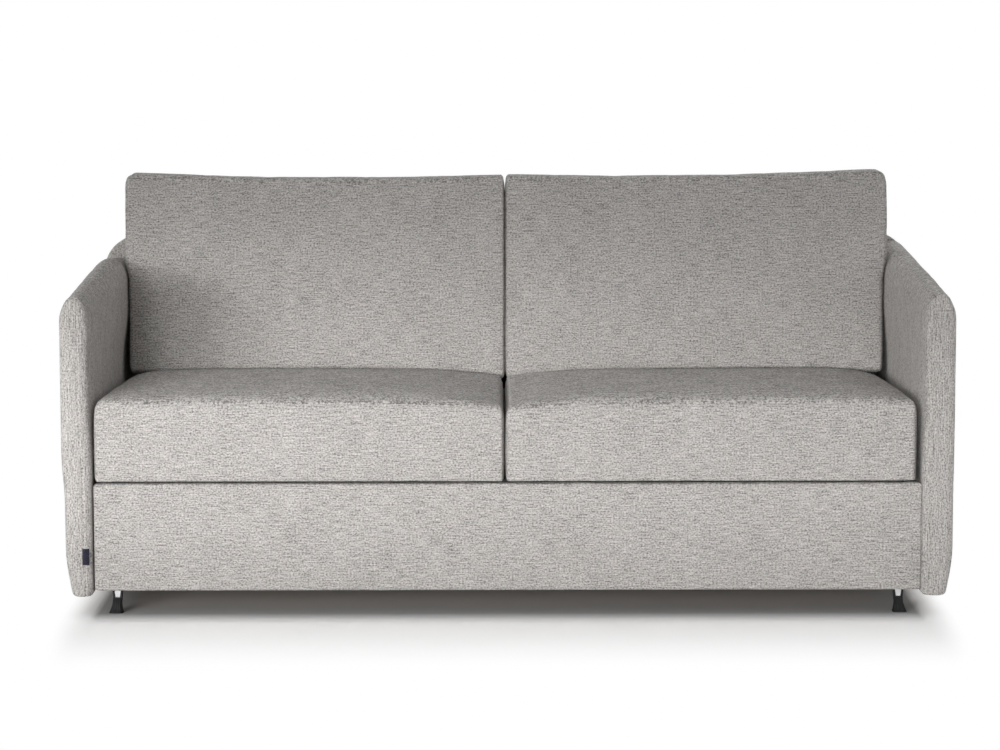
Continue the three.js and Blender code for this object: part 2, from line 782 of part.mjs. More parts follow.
function addLegBar(ys) {
  const pieces = [block([-deckHalf, deckHalf], ys, legBarZs)];
  for (const { sign } of sides) {
    const xs = onSide(sign, [legAxisX - legLugRadius, legAxisX + legLugRadius]);
    const lugYs = [legAxisY - legLugRadius, backRailFront + legLugRoot];
    const lowLug = [legZs[0] - legLugGap - legLugThickness, legZs[0] - legLugGap];
    const highLug = [legZs[1] + legLugGap, legZs[1] + legLugGap + legLugThickness];
    pieces.push(block(xs, lugYs, lowLug), block(xs, lugYs, highLug));
    pieces.push(roundBar("z", legPinRadius, lowLug[0], highLug[1], [sign * legAxisX, legAxisY]));
  }
  addPiece("leg_hinge_bar", join(...pieces), "darkSteel");
}

function addLeg({ word, sign }) {
  const tip = legAxisX - legReach;
  const capInner = tip + legCapHeight;
  const ys = [legAxisY - legThickness / 2, legAxisY + legThickness / 2];
  const bar = block(onSide(sign, [tip + legCapWall + touch, legAxisX]), ys, legZs);
  const eye = roundBar("z", legThickness / 2, legZs[0], legZs[1], [sign * legAxisX, legAxisY]);
  const bore = roundBar("z", legHoleRadius, legZs[0] - overrun, legZs[1] + overrun, [sign * legAxisX, legAxisY]);
  addPiece(`${word}_leg`, cut(join(bar, eye), bore), "darkSteel");
  const outer = block(
    onSide(sign, [tip, capInner]),
    [ys[0] - touch - legCapWall, ys[1] + touch + legCapWall],
    [legZs[0] - touch - legCapWall, legZs[1] + touch + legCapWall],
  );
  const socket = block(
    onSide(sign, [tip + legCapWall, capInner + overrun]),
    [ys[0] - touch, ys[1] + touch],
    [legZs[0] - touch, legZs[1] + touch],
  );
  addPiece(`${word}_leg_cap`, cut(outer, socket), "plastic");
}

sides.forEach(addArm);
addShell();
addPanel();
addBaseFrame();
addLifts();
addHeadSection();
addSeatSection();
addBackSection();
sides.forEach(addLeg);

export default sofa;
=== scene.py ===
"""The looks of a sleeper sofa with a fold-over bed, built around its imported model

Metres, with +Z up and the front at -Y. Laid out as an add-on: the sizes and colours are
properties, each group of pieces has an operator, and a panel in the 3D view's sidebar lists the
operators. main() registers them all and runs them in order.
"""
import math

import bpy
import numpy as np
from mathutils import Matrix, Vector, noise


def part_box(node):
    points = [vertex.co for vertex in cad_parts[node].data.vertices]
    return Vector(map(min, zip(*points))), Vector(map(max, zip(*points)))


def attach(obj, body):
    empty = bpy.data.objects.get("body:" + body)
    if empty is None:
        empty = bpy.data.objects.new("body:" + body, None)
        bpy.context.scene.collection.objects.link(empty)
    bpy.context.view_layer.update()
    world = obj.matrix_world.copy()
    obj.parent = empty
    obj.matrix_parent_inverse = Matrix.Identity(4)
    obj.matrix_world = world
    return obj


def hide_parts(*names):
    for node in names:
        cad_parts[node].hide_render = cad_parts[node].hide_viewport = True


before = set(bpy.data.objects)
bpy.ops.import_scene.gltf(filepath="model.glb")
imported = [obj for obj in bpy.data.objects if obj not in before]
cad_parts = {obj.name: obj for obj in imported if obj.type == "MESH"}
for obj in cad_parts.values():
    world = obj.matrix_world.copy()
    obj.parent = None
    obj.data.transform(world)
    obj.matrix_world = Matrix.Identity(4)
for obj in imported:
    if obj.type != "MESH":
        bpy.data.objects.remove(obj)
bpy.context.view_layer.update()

bl_info = {
    "name": "Sleeper sofa looks",
    "version": (1, 0, 0),
    "blender": (4, 5, 0),
    "location": "3D View > Sidebar > Sleeper sofa",
    "description": "Dresses the sleeper sofa with its upholstery, bedding, feet and finishes",
    "category": "Object",
}

MM = 0.001
SIDES = (("left", -1), ("right", 1))
ENDS = ("front", "rear")
AXES = range(3)


# Properties
def colour_field(label, text, red, green, blue):
    """A colour that a user can change"""
    return bpy.props.FloatVectorProperty(
        name=label, description=text, subtype="COLOR", size=4, default=(red, green, blue, 1), min=0, max=1
    )


def length_field(label, text, length):
    """A length that a user can change"""
    return bpy.props.FloatProperty(name=label, description=text, default=length, unit="LENGTH")


def angle_field(label, text, degrees):
    """An angle that a user can change"""
    return bpy.props.FloatProperty(
        name=label, description=text, default=math.radians(degrees), subtype="ANGLE"
    )


def power_field(label, text, watts):
    """The power of a lamp that a user can change"""
    return bpy.props.FloatProperty(name=label, description=f"{text}, in watts", default=watts, min=0)


class SofaCloth(bpy.types.PropertyGroup):
    """The upholstery cloth and its seams"""

    light: colour_field("Light yarn", "Colour of the palest yarns", 0.72, 0.69, 0.665)
    middle: colour_field("Ground yarn", "Colour that most of the cloth shows", 0.475, 0.452, 0.432)
    dark: colour_field("Dark yarn", "Colour of the darkest yarns", 0.175, 0.163, 0.155)
    slub_length: length_field("Slub length", "Length of a thick stretch of yarn", 34 * MM)
    slub_height: length_field("Slub height", "Height of a thick stretch of yarn", 2.4 * MM)
    fleck: length_field("Fleck", "Length of the short paler and darker flecks", 3.9 * MM)
    seam_depth: length_field("Seam depth", "How far a seam sinks into the padding", 2.2 * MM)
    stitch_length: length_field("Stitch length", "Length of one visible stitch", 4.5 * MM)
    stitch_gap: length_field("Stitch gap", "Space between two stitches", 2 * MM)


class SofaSteel(bpy.types.PropertyGroup):
    """The metal, wood, plastic and mattress finishes"""

    paint: colour_field("Frame paint", "Colour of the powder-coated frame", 0.035, 0.036, 0.039)
    bright: colour_field("Plated steel", "Colour of the plated stems, tubes and pins", 0.62, 0.62, 0.63)
    plastic: colour_field("Foot plastic", "Colour of the moulded boots and caps", 0.006, 0.006, 0.0065)
    wood: colour_field("Slat wood", "Colour of the pale early wood in the slats", 0.62, 0.43, 0.25)
    bevel: length_field("Edge round", "Rounding on the edges of the steel and the slats", 1.2 * MM)
    ticking: colour_field("Ticking", "Colour of the mattress cover", 0.74, 0.725, 0.69)


class SofaStage(bpy.types.PropertyGroup):
    """The camera and the light"""

    lens: bpy.props.FloatProperty(
        name="Lens", description="Focal length on a 36 mm sensor, in millimetres", default=117.5
    )
    place: bpy.props.FloatVectorProperty(
        name="Camera place", description="Where the camera stands", subtype="TRANSLATION", unit="LENGTH",
        default=(-0.029, -7.289, 1.315),
    )
    pitch: angle_field("Pitch", "How far the camera looks down", 6.7)
    yaw: angle_field("Yaw", "How far the camera turns right", 0.105)
    roll: angle_field("Roll", "How far the camera leans", -0.075)
    key_power: power_field("Key power", "Power of the far lamp at the left of the camera", 4.8)
    band_power: power_field("Band power", "Power of the two wide low lamps on the seat together", 3.2)
    edge_power: power_field("Edge power", "Power of the narrow lamp on the left arm's front", 1.1)
    side_power: power_field("Side power", "Power of the lamp at the right side", 5.3)
    rear_power: power_field("Rear power", "Power of the large lamp behind the sofa", 75)
    sky: bpy.props.FloatProperty(
        name="Sky", description="Strength of the even light from all sides", default=0.4, min=0
    )


GROUPS = {"sofa_cloth": SofaCloth, "sofa_steel": SofaSteel, "sofa_stage": SofaStage}


def cloth_values():
    return bpy.context.scene.sofa_cloth


def steel_values():
    return bpy.context.scene.sofa_steel


def stage_values():
    return bpy.context.scene.sofa_stage


# Shader helpers
def add_node(tree, kind, **values):
    """A node of a tree, with properties set by name and inputs by "in_" and their place or name"""
    node = tree.nodes.new(kind)
    for key, value in values.items():
        if key.startswith("in_"):
            place = key[3:]
            node.inputs[int(place) if place.isdigit() else place.replace("_", " ")].default_value = value
        else:
            setattr(node, key, value)
    return node


def wire(tree, source, target):
    """Links a source, a socket or a node's first output, to a target socket"""
    tree.links.new(source.outputs[0] if hasattr(source, "outputs") else source, target)


def feed(tree, term, socket):
    """Sets a socket to a number or a colour, or links it to a source"""
    if isinstance(term, (int, float, tuple)):
        socket.default_value = term
    else:
        wire(tree, term, socket)


def calc(tree, operation, *terms):
    """A Math node whose terms are sockets, nodes or numbers"""
    node = add_node(tree, "ShaderNodeMath", operation=operation)
    for i, term in enumerate(terms):
        feed(tree, term, node.inputs[i])
    return node.outputs[0]


def times(tree, *terms):
    """The product of two or more terms"""
    product = terms[0]
    for term in terms[1:]:
        product = calc(tree, "MULTIPLY", product, term)
    return product


def pick(tree, mask, when_low, when_high):
    """A number that goes from one value to another with a mask"""
    node = add_node(tree, "ShaderNodeMix", data_type="FLOAT")
    for i, term in ((0, mask), (2, when_low), (3, when_high)):
        feed(tree, term, node.inputs[i])
    return node.outputs[0]


def tint(tree, mask, when_low, when_high):
    """A colour that goes from one colour to another with a mask"""
    node = add_node(tree, "ShaderNodeMix", data_type="RGBA")
    for i, term in ((0, mask), (6, when_low), (7, when_high)):
        feed(tree, term, node.inputs[i])
    return node.outputs[2]


def span(tree, value, low, high, to_low=0.0, to_high=1.0):
    """A value carried from one range to another, with its ends clamped"""
    node = add_node(tree, "ShaderNodeMapRange", in_1=low, in_2=high, in_3=to_low, in_4=to_high)
    wire(tree, value, node.inputs[0])
    return node.outputs[0]


def noise_at(tree, place, scale, detail=2.0, roughness=0.5):
    """Noise at a place"""
    node = add_node(tree, "ShaderNodeTexNoise", in_Scale=scale, in_Detail=detail, in_Roughness=roughness)
    wire(tree, place, node.inputs["Vector"])
    return node.outputs[0]


def vector_of(tree, x, y, z):
    """A vector from three terms"""
    node = add_node(tree, "ShaderNodeCombineXYZ")
    for i, term in enumerate((x, y, z)):
        feed(tree, term, node.inputs[i])
    return node.outputs[0]


def parts_of(tree, vector):
    """The three parts of a vector"""
    node = add_node(tree, "ShaderNodeSeparateXYZ")
    wire(tree, vector, node.inputs[0])
    return tuple(node.outputs)


def object_place(tree):
    """The place on the piece, which moves with it"""
    return add_node(tree, "ShaderNodeTexCoord").outputs["Object"]


def new_group(name, inputs, outputs):
    """A shader node group with named sockets. Inputs are (name, kind, default)."""
    tree = bpy.data.node_groups.new(name, "ShaderNodeTree")
    for label, kind, default in inputs:
        socket = tree.interface.new_socket(name=label, in_out="INPUT", socket_type=f"NodeSocket{kind}")
        socket.default_value = default
    for label, kind in outputs:
        tree.interface.new_socket(name=label, in_out="OUTPUT", socket_type=f"NodeSocket{kind}")
    return tree, tree.nodes.new("NodeGroupInput"), tree.nodes.new("NodeGroupOutput")


def flat_place(tree):
    """Coordinates along and across the surface, in metres, which move with the piece: sideways faces take
    y and z, level faces x and y, and the rest x and z. Then 1 on sideways faces, and 1 on level ones."""
    place = parts_of(tree, object_place(tree))
    normal = parts_of(tree, add_node(tree, "ShaderNodeTexCoord").outputs["Normal"])
    nx, ny, nz = (calc(tree, "ABSOLUTE", part) for part in normal)
    sideways = times(tree, calc(tree, "GREATER_THAN", nx, ny), calc(tree, "GREATER_THAN", nx, nz))
    level = times(tree, calc(tree, "GREATER_THAN", nz, ny), calc(tree, "GREATER_THAN", nz, nx))
    along = pick(tree, sideways, place[0], place[1])
    across = pick(tree, level, place[2], place[1])
    return along, across, sideways, level


SURFACE = [("Color", "Color"), ("Height", "Float"), ("Roughness", "Float")]

# The melange cloth's make-up
KIND_STEP = 3.7  # how far apart the noise of differently facing surfaces lies
YARN_SHARES = {"slubs": 1.5, "flecks": 2.7, "threads": 0.6, "drift": 0.25}  # in the cloth's tone
DRIFT_SCALE = 9.0
FLECK_HEIGHT = (0.82, 0.5)  # a fleck's height for its length on upright cloth, and what level cloth adds
THREAD_LENGTH = 2.5  # the even stretch of one thread, in flecks
THREAD_STEP = 0.73  # how far apart the noise of neighbouring threads lies
STRENGTH = (0.85, 0.4)  # contrast of upright cloth, and what level cloth adds
TONE_REACH = 0.62  # the tone at which only the palest or the darkest yarn shows
CROSSING_PITCH = 1.6  # distance between crossings, in threads
CROSSING_DEPTH = 0.25
TONE_HEIGHT = 0.3  # how much paler yarns stand out
CLOTH_ROUGHNESS, TONE_GLOSS = 0.92, -0.06


def build_weave():
    """Melange cloth: threads in rows, slubs of paler and darker yarn, and a raised weave"""
    inputs = [
        ("Light", "Color", (0.7, 0.7, 0.7, 1)), ("Ground", "Color", (0.45, 0.45, 0.45, 1)),
        ("Dark", "Color", (0.15, 0.15, 0.15, 1)), ("Upright", "Float", 0.0),
        ("Slub length", "Float", 34 * MM), ("Slub height", "Float", 2.4 * MM),
        ("Thread", "Float", 1.3 * MM), ("Fleck", "Float", 3.4 * MM), ("Contrast", "Float", 1.0),
    ]
    tree, entry, leave = new_group("melange_weave", inputs, SURFACE)
    pale, ground, dark, upright, slub_length, slub_height, thread, fleck, contrast = entry.outputs[:9]
    along, across, sideways, level = flat_place(tree)
    swap = times(tree, upright, calc(tree, "SUBTRACT", 1.0, level))
    run = pick(tree, swap, along, across)
    rows = pick(tree, swap, across, along)
    kind = calc(tree, "MULTIPLY_ADD", sideways, KIND_STEP, times(tree, level, 2 * KIND_STEP))

    # Long slubs, short flecks, single threads and a slow drift in tone
    def yarn(length, height, seed):
        place = vector_of(tree, calc(tree, "DIVIDE", run, length), height, calc(tree, "ADD", kind, seed))
        return noise_at(tree, place, 1.0, detail=1.0)

    fleck_height = times(tree, fleck, calc(tree, "MULTIPLY_ADD", level, FLECK_HEIGHT[1], FLECK_HEIGHT[0]))
    row = calc(tree, "FLOOR", calc(tree, "DIVIDE", rows, thread))
    yarns = {
        "slubs": yarn(slub_length, calc(tree, "DIVIDE", rows, slub_height), seed=0.0),
        "flecks": yarn(fleck, calc(tree, "DIVIDE", rows, fleck_height), seed=11.0),
        "threads": yarn(times(tree, fleck, THREAD_LENGTH), times(tree, row, THREAD_STEP), seed=23.0),
        "drift": noise_at(tree, vector_of(tree, run, rows, kind), DRIFT_SCALE, detail=1.0),
    }
    tone = 0.0
    for name, source in yarns.items():
        tone = calc(tree, "MULTIPLY_ADD", calc(tree, "SUBTRACT", source, 0.5), YARN_SHARES[name], tone)
    strength = times(tree, contrast, calc(tree, "MULTIPLY_ADD", level, STRENGTH[1], STRENGTH[0]))
    tone = times(tree, tone, strength)
    shade = tint(tree, span(tree, tone, 0.0, -TONE_REACH), ground, dark)
    shade = tint(tree, span(tree, tone, 0.0, TONE_REACH), shade, pale)

    # Plain weave: rows of round threads, crossed at every other pitch
    warp = calc(tree, "DIVIDE", run, times(tree, thread, CROSSING_PITCH))
    parity = times(tree, calc(tree, "MODULO", row, 2.0), 0.5)
    crossing = calc(tree, "SINE", times(tree, calc(tree, "ADD", warp, parity), 2 * math.pi))
    weft = calc(tree, "SINE", times(tree, calc(tree, "DIVIDE", rows, thread), math.pi))
    raised = calc(tree, "MULTIPLY_ADD", crossing, CROSSING_DEPTH, 1 - CROSSING_DEPTH)
    body = times(tree, calc(tree, "ABSOLUTE", weft), raised)
    wire(tree, shade, leave.inputs["Color"])
    wire(tree, calc(tree, "MULTIPLY_ADD", tone, TONE_HEIGHT, body), leave.inputs["Height"])
    roughness = calc(tree, "MULTIPLY_ADD", tone, TONE_GLOSS, CLOTH_ROUGHNESS)
    wire(tree, roughness, leave.inputs["Roughness"])
    return tree


def patches(tree, scale, detail, low, high):
    """A mask of uneven patches on a piece"""
    return span(tree, noise_at(tree, object_place(tree), scale, detail), low, high)


def build_edge_wear():
    """A mask that is 1 on worn outer edges and 0 elsewhere"""
    tree, entry, leave = new_group(
        "edge_wear", [("Reach", "Float", 1.5 * MM), ("Amount", "Float", 0.5)], [("Mask", "Float")]
    )
    geometry = add_node(tree, "ShaderNodeNewGeometry")
    rounded = add_node(tree, "ShaderNodeBevel", samples=4)
    wire(tree, entry.outputs["Reach"], rounded.inputs["Radius"])
    likeness = add_node(tree, "ShaderNodeVectorMath", operation="DOT_PRODUCT")
    wire(tree, rounded.outputs[0], likeness.inputs[0])
    wire(tree, geometry.outputs["True Normal"], likeness.inputs[1])
    edge = span(tree, likeness.outputs["Value"], 0.995, 0.86)
    worn = patches(tree, scale=60.0, detail=4.0, low=0.45, high=0.62)
    wire(tree, times(tree, edge, worn, entry.outputs["Amount"]), leave.inputs[0])
    return tree


def build_dust():
    """A faint mask of dust that settles on faces that look up"""
    tree, entry, leave = new_group("settled_dust", [("Amount", "Float", 0.3)], [("Mask", "Float")])
    normal = parts_of(tree, add_node(tree, "ShaderNodeNewGeometry").outputs["Normal"])
    dusty = patches(tree, scale=25.0, detail=5.0, low=0.35, high=0.7)
    upward = span(tree, normal[2], 0.3, 1.0)
    wire(tree, times(tree, upward, dusty, entry.outputs["Amount"]), leave.inputs[0])
    return tree


# The wood's make-up: how closely its figure and pores repeat along and across the grain
FIGURE_STRETCH = (1.3, 34.0, 34.0)
PORE_STRETCH = (22.0, 900.0, 900.0)
RING_DENSITY = 30.0
PLY_PITCH = 3 * MM  # two plies of plywood


def build_wood_grain():
    """Long straight grain along x, with rings and pores"""
    tree, entry, leave = new_group(
        "wood_grain",
        [
            ("Early", "Color", (0.6, 0.42, 0.25, 1)), ("Late", "Color", (0.4, 0.26, 0.13, 1)),
            ("Ply", "Float", 0.0),
        ],
        SURFACE,
    )
    place = parts_of(tree, object_place(tree))

    def stretched(factors):
        return vector_of(tree, *(times(tree, part, factor) for part, factor in zip(place, factors)))

    figure = noise_at(tree, stretched(FIGURE_STRETCH), 1.0, detail=4.0, roughness=0.6)
    rings = calc(tree, "SINE", times(tree, figure, RING_DENSITY))
    pores = noise_at(tree, stretched(PORE_STRETCH), 1.0)
    plies = calc(tree, "SINE", times(tree, place[2], 2 * math.pi / PLY_PITCH))
    band = calc(tree, "MULTIPLY_ADD", rings, 0.3, calc(tree, "MULTIPLY_ADD", pores, 0.7, 0.05))
    band = calc(tree, "ADD", band, times(tree, plies, 0.3, entry.outputs["Ply"]))
    late_share = span(tree, band, 0.1, 0.95)
    wire(tree, tint(tree, late_share, entry.outputs["Early"], entry.outputs["Late"]), leave.inputs["Color"])
    wire(tree, band, leave.inputs["Height"])
    wire(tree, span(tree, band, 0.0, 1.0, 0.48, 0.68), leave.inputs["Roughness"])
    return tree


def build_moulding():
    """The fine pebbled skin of painted or moulded surfaces"""
    tree, entry, leave = new_group(
        "fine_skin", [("Pitch", "Float", 1 * MM), ("Spread", "Float", 0.2), ("Roughness", "Float", 0.5)],
        [("Height", "Float"), ("Roughness", "Float"), ("Blotch", "Float")],
    )
    place = object_place(tree)
    scaled = add_node(tree, "ShaderNodeVectorMath", operation="SCALE")
    wire(tree, place, scaled.inputs[0])
    wire(tree, calc(tree, "DIVIDE", 1.0, entry.outputs["Pitch"]), scaled.inputs["Scale"])
    blotch = noise_at(tree, place, 14.0, detail=4.0)
    uneven = times(tree, calc(tree, "SUBTRACT", blotch, 0.5), entry.outputs["Spread"])
    wire(tree, noise_at(tree, scaled.outputs[0], 1.0), leave.inputs["Height"])
    wire(tree, calc(tree, "ADD", uneven, entry.outputs["Roughness"]), leave.inputs["Roughness"])
    wire(tree, blotch, leave.inputs["Blotch"])
    return tree


EFFECTS = {
    "weave": build_weave, "edge_wear": build_edge_wear, "dust": build_dust, "wood": build_wood_grain,
    "skin": build_moulding,
}
_effects = {}


def effect(tree, name, **values):
    """A shared effect placed in a material's tree, with its own values"""
    if name not in _effects:
        _effects[name] = EFFECTS[name]()
    node = add_node(tree, "ShaderNodeGroup", node_tree=_effects[name])
    for key, value in values.items():
        node.inputs[key.replace("_", " ")].default_value = value
    return node


def new_material(name, **constants):
    """A material with a Principled BSDF whose even values are set on its own sockets"""
    material = bpy.data.materials.new(name)
    material.use_nodes = True
    tree = material.node_tree
    shader = tree.nodes["Principled BSDF"]
    for key, value in constants.items():
        shader.inputs[key.replace("_", " ")].default_value = value
    return material, tree, shader


def coat(tree, shader, colour, effect_node, relief):
    """Feeds a shader a colour, and an effect's roughness and height"""
    wire(tree, colour, shader.inputs["Base Color"])
    wire(tree, effect_node.outputs["Roughness"], shader.inputs["Roughness"])
    bump = add_node(tree, "ShaderNodeBump", in_Strength=1.0, in_Distance=relief)
    wire(tree, effect_node.outputs["Height"], bump.inputs["Height"])
    wire(tree, bump, shader.inputs["Normal"])


def toned(colour, factor):
    """A paler or a darker colour"""
    return tuple(min(1.0, factor * part) for part in colour[:3]) + (1.0,)


def dusted(tree, colour, amount, dust):
    """A colour with dust on the faces that look up"""
    return tint(tree, effect(tree, "dust", Amount=amount).outputs[0], colour, (*dust, 1))


PLAIN_YARNS = {
    "Thread": 1.3 * MM, "Contrast": 1.0, "Slub_length": 13 * MM, "Slub_height": 2.6 * MM, "Fleck": 3 * MM,
}


def weave_material(name, colours, upright=False, relief=0.5 * MM, **yarns):
    """Woven cloth of a pale, a middle and a dark colour, whose yarns lie along the piece, or upright"""
    material, tree, shader = new_material(
        name, Sheen_Weight=0.28, Sheen_Roughness=0.5, Sheen_Tint=(0.9, 0.88, 0.86, 1),
        Specular_IOR_Level=0.18,
    )
    light, ground, dark = ((*colour[:3], 1) for colour in colours)
    values = {**PLAIN_YARNS, **yarns}
    cloth = effect(tree, "weave", Light=light, Ground=ground, Dark=dark, Upright=float(upright), **values)
    coat(tree, shader, cloth.outputs["Color"], cloth, relief)
    return material


def upholstery_material(upright):
    """The sofa's melange cloth"""
    values = cloth_values()
    return weave_material(
        "upholstery_upright" if upright else "upholstery_level", (values.light, values.middle, values.dark),
        upright, Slub_length=values.slub_length, Slub_height=values.slub_height, Fleck=values.fleck,
    )


def ticking_material():
    """Mattress ticking: a fine pale cloth with a faint slub"""
    colour = steel_values().ticking
    colours = (toned(colour, 1.07), colour, toned(colour, 0.8))
    return weave_material("ticking", colours, Thread=0.9 * MM, Contrast=0.7, relief=0.25 * MM)


def thread_material():
    """The sewing thread of the visible stitches"""
    colours = ((0.66, 0.63, 0.6), (0.5, 0.475, 0.45), (0.3, 0.28, 0.27))
    return weave_material("sewing_thread", colours, True, Thread=0.4 * MM, Contrast=0.6, relief=0.15 * MM)


def tag_material():
    """The woven tag: plain dark navy, bare on both sides"""
    colours = ((0.035, 0.034, 0.062), (0.014, 0.013, 0.028), (0.006, 0.005, 0.012))
    return weave_material(
        "woven_tag", colours, Thread=0.45 * MM, Contrast=0.9, relief=0.15 * MM, Slub_length=5 * MM,
        Slub_height=1 * MM,
    )


def painted_material():
    """Powder-coated frame steel, rubbed on its edges and a little dusty"""
    material, tree, shader = new_material("powder_coat", Specular_IOR_Level=0.5)
    skin = effect(tree, "skin", Pitch=0.8 * MM, Spread=0.25, Roughness=0.42)
    wear = effect(tree, "edge_wear", Reach=1.5 * MM, Amount=0.75).outputs[0]
    bare = tint(tree, wear, tuple(steel_values().paint), (0.36, 0.36, 0.37, 1))
    wire(tree, wear, shader.inputs["Metallic"])
    coat(tree, shader, dusted(tree, bare, 0.22, (0.33, 0.31, 0.29)), skin, 0.06 * MM)
    return material


def plated_material():
    """Bright plated steel with a few dull patches"""
    colour = tuple(steel_values().bright)
    material, tree, shader = new_material("plated_steel", Metallic=1.0)
    skin = effect(tree, "skin", Pitch=0.5 * MM, Spread=0.3, Roughness=0.27)
    plain = tint(tree, span(tree, skin.outputs["Blotch"], 0.4, 0.65), colour, toned(colour, 0.72))
    coat(tree, shader, dusted(tree, plain, 0.3, (0.4, 0.38, 0.36)), skin, 0.03 * MM)
    return material


def plastic_material():
    """Black moulded plastic, paler where its edges rub"""
    material, tree, shader = new_material("moulded_plastic", Specular_IOR_Level=0.16)
    skin = effect(tree, "skin", Pitch=0.6 * MM, Spread=0.3, Roughness=0.46)
    wear = effect(tree, "edge_wear", Reach=1.0 * MM, Amount=0.2).outputs[0]
    rubbed = tint(tree, wear, tuple(steel_values().plastic), (0.07, 0.07, 0.07, 1))
    coat(tree, shader, dusted(tree, rubbed, 0.06, (0.2, 0.19, 0.18)), skin, 0.1 * MM)
    return material


def wood_material(ply):
    """Clear-lacquered beech slats, or the plywood of the hidden boards"""
    colour = tuple(steel_values().wood)
    material, tree, shader = new_material("plywood" if ply else "beech", Specular_IOR_Level=0.4)
    grain = effect(tree, "wood", Early=colour, Late=toned(colour, 0.62), Ply=float(ply))
    wear = effect(tree, "edge_wear", Reach=1.5 * MM, Amount=0.5).outputs[0]
    coat(tree, shader, tint(tree, wear, grain.outputs["Color"], toned(colour, 1.25)), grain, 0.12 * MM)
    return material


MATERIALS = {
    "cloth_level": lambda: upholstery_material(False),
    "cloth_upright": lambda: upholstery_material(True),
    "ticking": ticking_material, "thread": thread_material, "tag": tag_material,
    "painted": painted_material, "plated": plated_material, "plastic": plastic_material,
    "beech": lambda: wood_material(False), "plywood": lambda: wood_material(True),
}
_materials = {}


def material(name):
    """A finished material by name, built once"""
    if name not in _materials:
        _materials[name] = MATERIALS[name]()
    return _materials[name]


# Padded blocks: closed boxes with rounded edges on a lattice, which cushions and covers start from
def stations(low, high, radii, cell, steps, extras=()):
    """Places along one axis: even cells between the rounded edges, the edges' arcs, and extra places"""
    arcs = [math.tan(math.pi / 4 * i / steps) for i in range(1, steps + 1)]
    inner = (low + radii[0], high - radii[1])
    count = max(1, round((inner[1] - inner[0]) / cell))
    places = [inner[0] + (inner[1] - inner[0]) * i / count for i in range(count + 1)]
    places += [inner[0] - share * radii[0] for share in arcs if radii[0] > 0]
    places += [inner[1] + share * radii[1] for share in arcs if radii[1] > 0]
    for extra in extras:
        clear = 0.35 * cell
        places = [p for p in places if abs(p - extra) > clear or p in (min(places), max(places))] + [extra]
    return sorted(places)


class Block:
    """A padded block's points, faces and lattice. shares run from -1 to 1 across the block."""

    def __init__(self, low, high, radii, cell, steps=4, extras=((), (), ()), squareness=0.0):
        self.low, self.high = np.array(low, float), np.array(high, float)
        self.radii = np.array(radii, float)
        self.lines = [
            np.array(stations(self.low[a], self.high[a], radii[a], cell[a], steps, extras[a])) for a in AXES
        ]
        self.last = np.array([len(line) - 1 for line in self.lines])
        grid = np.indices(self.last + 1).reshape(3, -1).T
        skin = ((grid == 0) | (grid == self.last)).any(1)
        self.lattice = grid[skin]
        self.index = np.full(tuple(self.last + 1), -1, int)
        self.index[tuple(self.lattice.T)] = np.arange(len(self.lattice))
        value = np.stack([self.lines[a][self.lattice[:, a]] for a in AXES], 1)
        near = np.clip(value, self.low + self.radii[:, 0], self.high - self.radii[:, 1])
        radius = np.where(value < near, self.radii[:, 0], self.radii[:, 1])
        lean = np.divide(value - near, radius, out=np.zeros_like(value), where=radius > 0)
        size = np.abs(lean)
        power = (2 + squareness * size[:, 1])[:, None]
        length = (size ** power).sum(1, keepdims=True) ** (1 / power)
        reach = np.divide(size.max(1, keepdims=True), length, out=np.zeros_like(length), where=length > 0)
        self.points = near + lean * reach * radius
        self.shares = (2 * self.points - self.low - self.high) / (self.high - self.low)
        self.faces = self.skin_faces()

    def skin_faces(self):
        """The quads of the six sides, facing out"""
        quads = []
        for axis in AXES:
            order = np.moveaxis(self.index, axis, 0)
            flip = axis == 1
            for end, sheet in ((0, order[0]), (1, order[-1])):
                ring = [sheet[:-1, :-1], sheet[1:, :-1], sheet[1:, 1:], sheet[:-1, 1:]]
                if (end == 0) != flip:
                    ring.reverse()
                quads.append(np.stack(ring, -1).reshape(-1, 4))
        return np.concatenate(quads)

    def on(self, **ends):
        """The points whose lattice place along each named axis is at its low (0) or high (1) end"""
        found = np.ones(len(self.points), bool)
        for axis, end in ends.items():
            a = "xyz".index(axis)
            found &= self.lattice[:, a] == (self.last[a] if end else 0)
        return found

    def rim(self, axes):
        """The points that are at either end along any of the named axes"""
        found = np.zeros(len(self.points), bool)
        for axis in axes:
            found |= self.on(**{axis: 0}) | self.on(**{axis: 1})
        return found

    def normals(self):
        """Outward normals of the points"""
        corner = self.points[self.faces]
        face = np.cross(corner[:, 2] - corner[:, 0], corner[:, 3] - corner[:, 1])
        total = np.zeros_like(self.points)
        for k in range(4):
            np.add.at(total, self.faces[:, k], face)
        return total / np.maximum(np.linalg.norm(total, axis=1, keepdims=True), 1e-12)

    def line(self, axis, value):
        """The points on the lattice plane whose station is nearest to a value along an axis"""
        a = "xyz".index(axis)
        return self.lattice[:, a] == int(np.argmin(np.abs(self.lines[a] - value)))

    def sink(self, members, depth):
        """Pulls points inwards, as a seam does"""
        self.points[members] -= depth * self.normals()[members]

    def to_object(self, name):
        """A mesh object of the block"""
        return mesh_object(name, self.points, self.faces.tolist())


def mesh_object(name, points, faces):
    """A smooth-shaded mesh object at the origin"""
    mesh = bpy.data.meshes.new(name)
    mesh.from_pydata([tuple(p) for p in points], [], faces)
    mesh.update()
    mesh.shade_smooth()
    item = bpy.data.objects.new(name, mesh)
    bpy.context.scene.collection.objects.link(item)
    return item


def coordinates(mesh):
    """A mesh's vertex places as an array"""
    flat = np.zeros(3 * len(mesh.vertices), np.float32)
    mesh.vertices.foreach_get("co", flat)
    return flat.reshape(-1, 3).astype(float)


def set_coordinates(mesh, points):
    """Puts a mesh's vertices at new places"""
    mesh.vertices.foreach_set("co", np.asarray(points, np.float32).ravel())
    mesh.update()


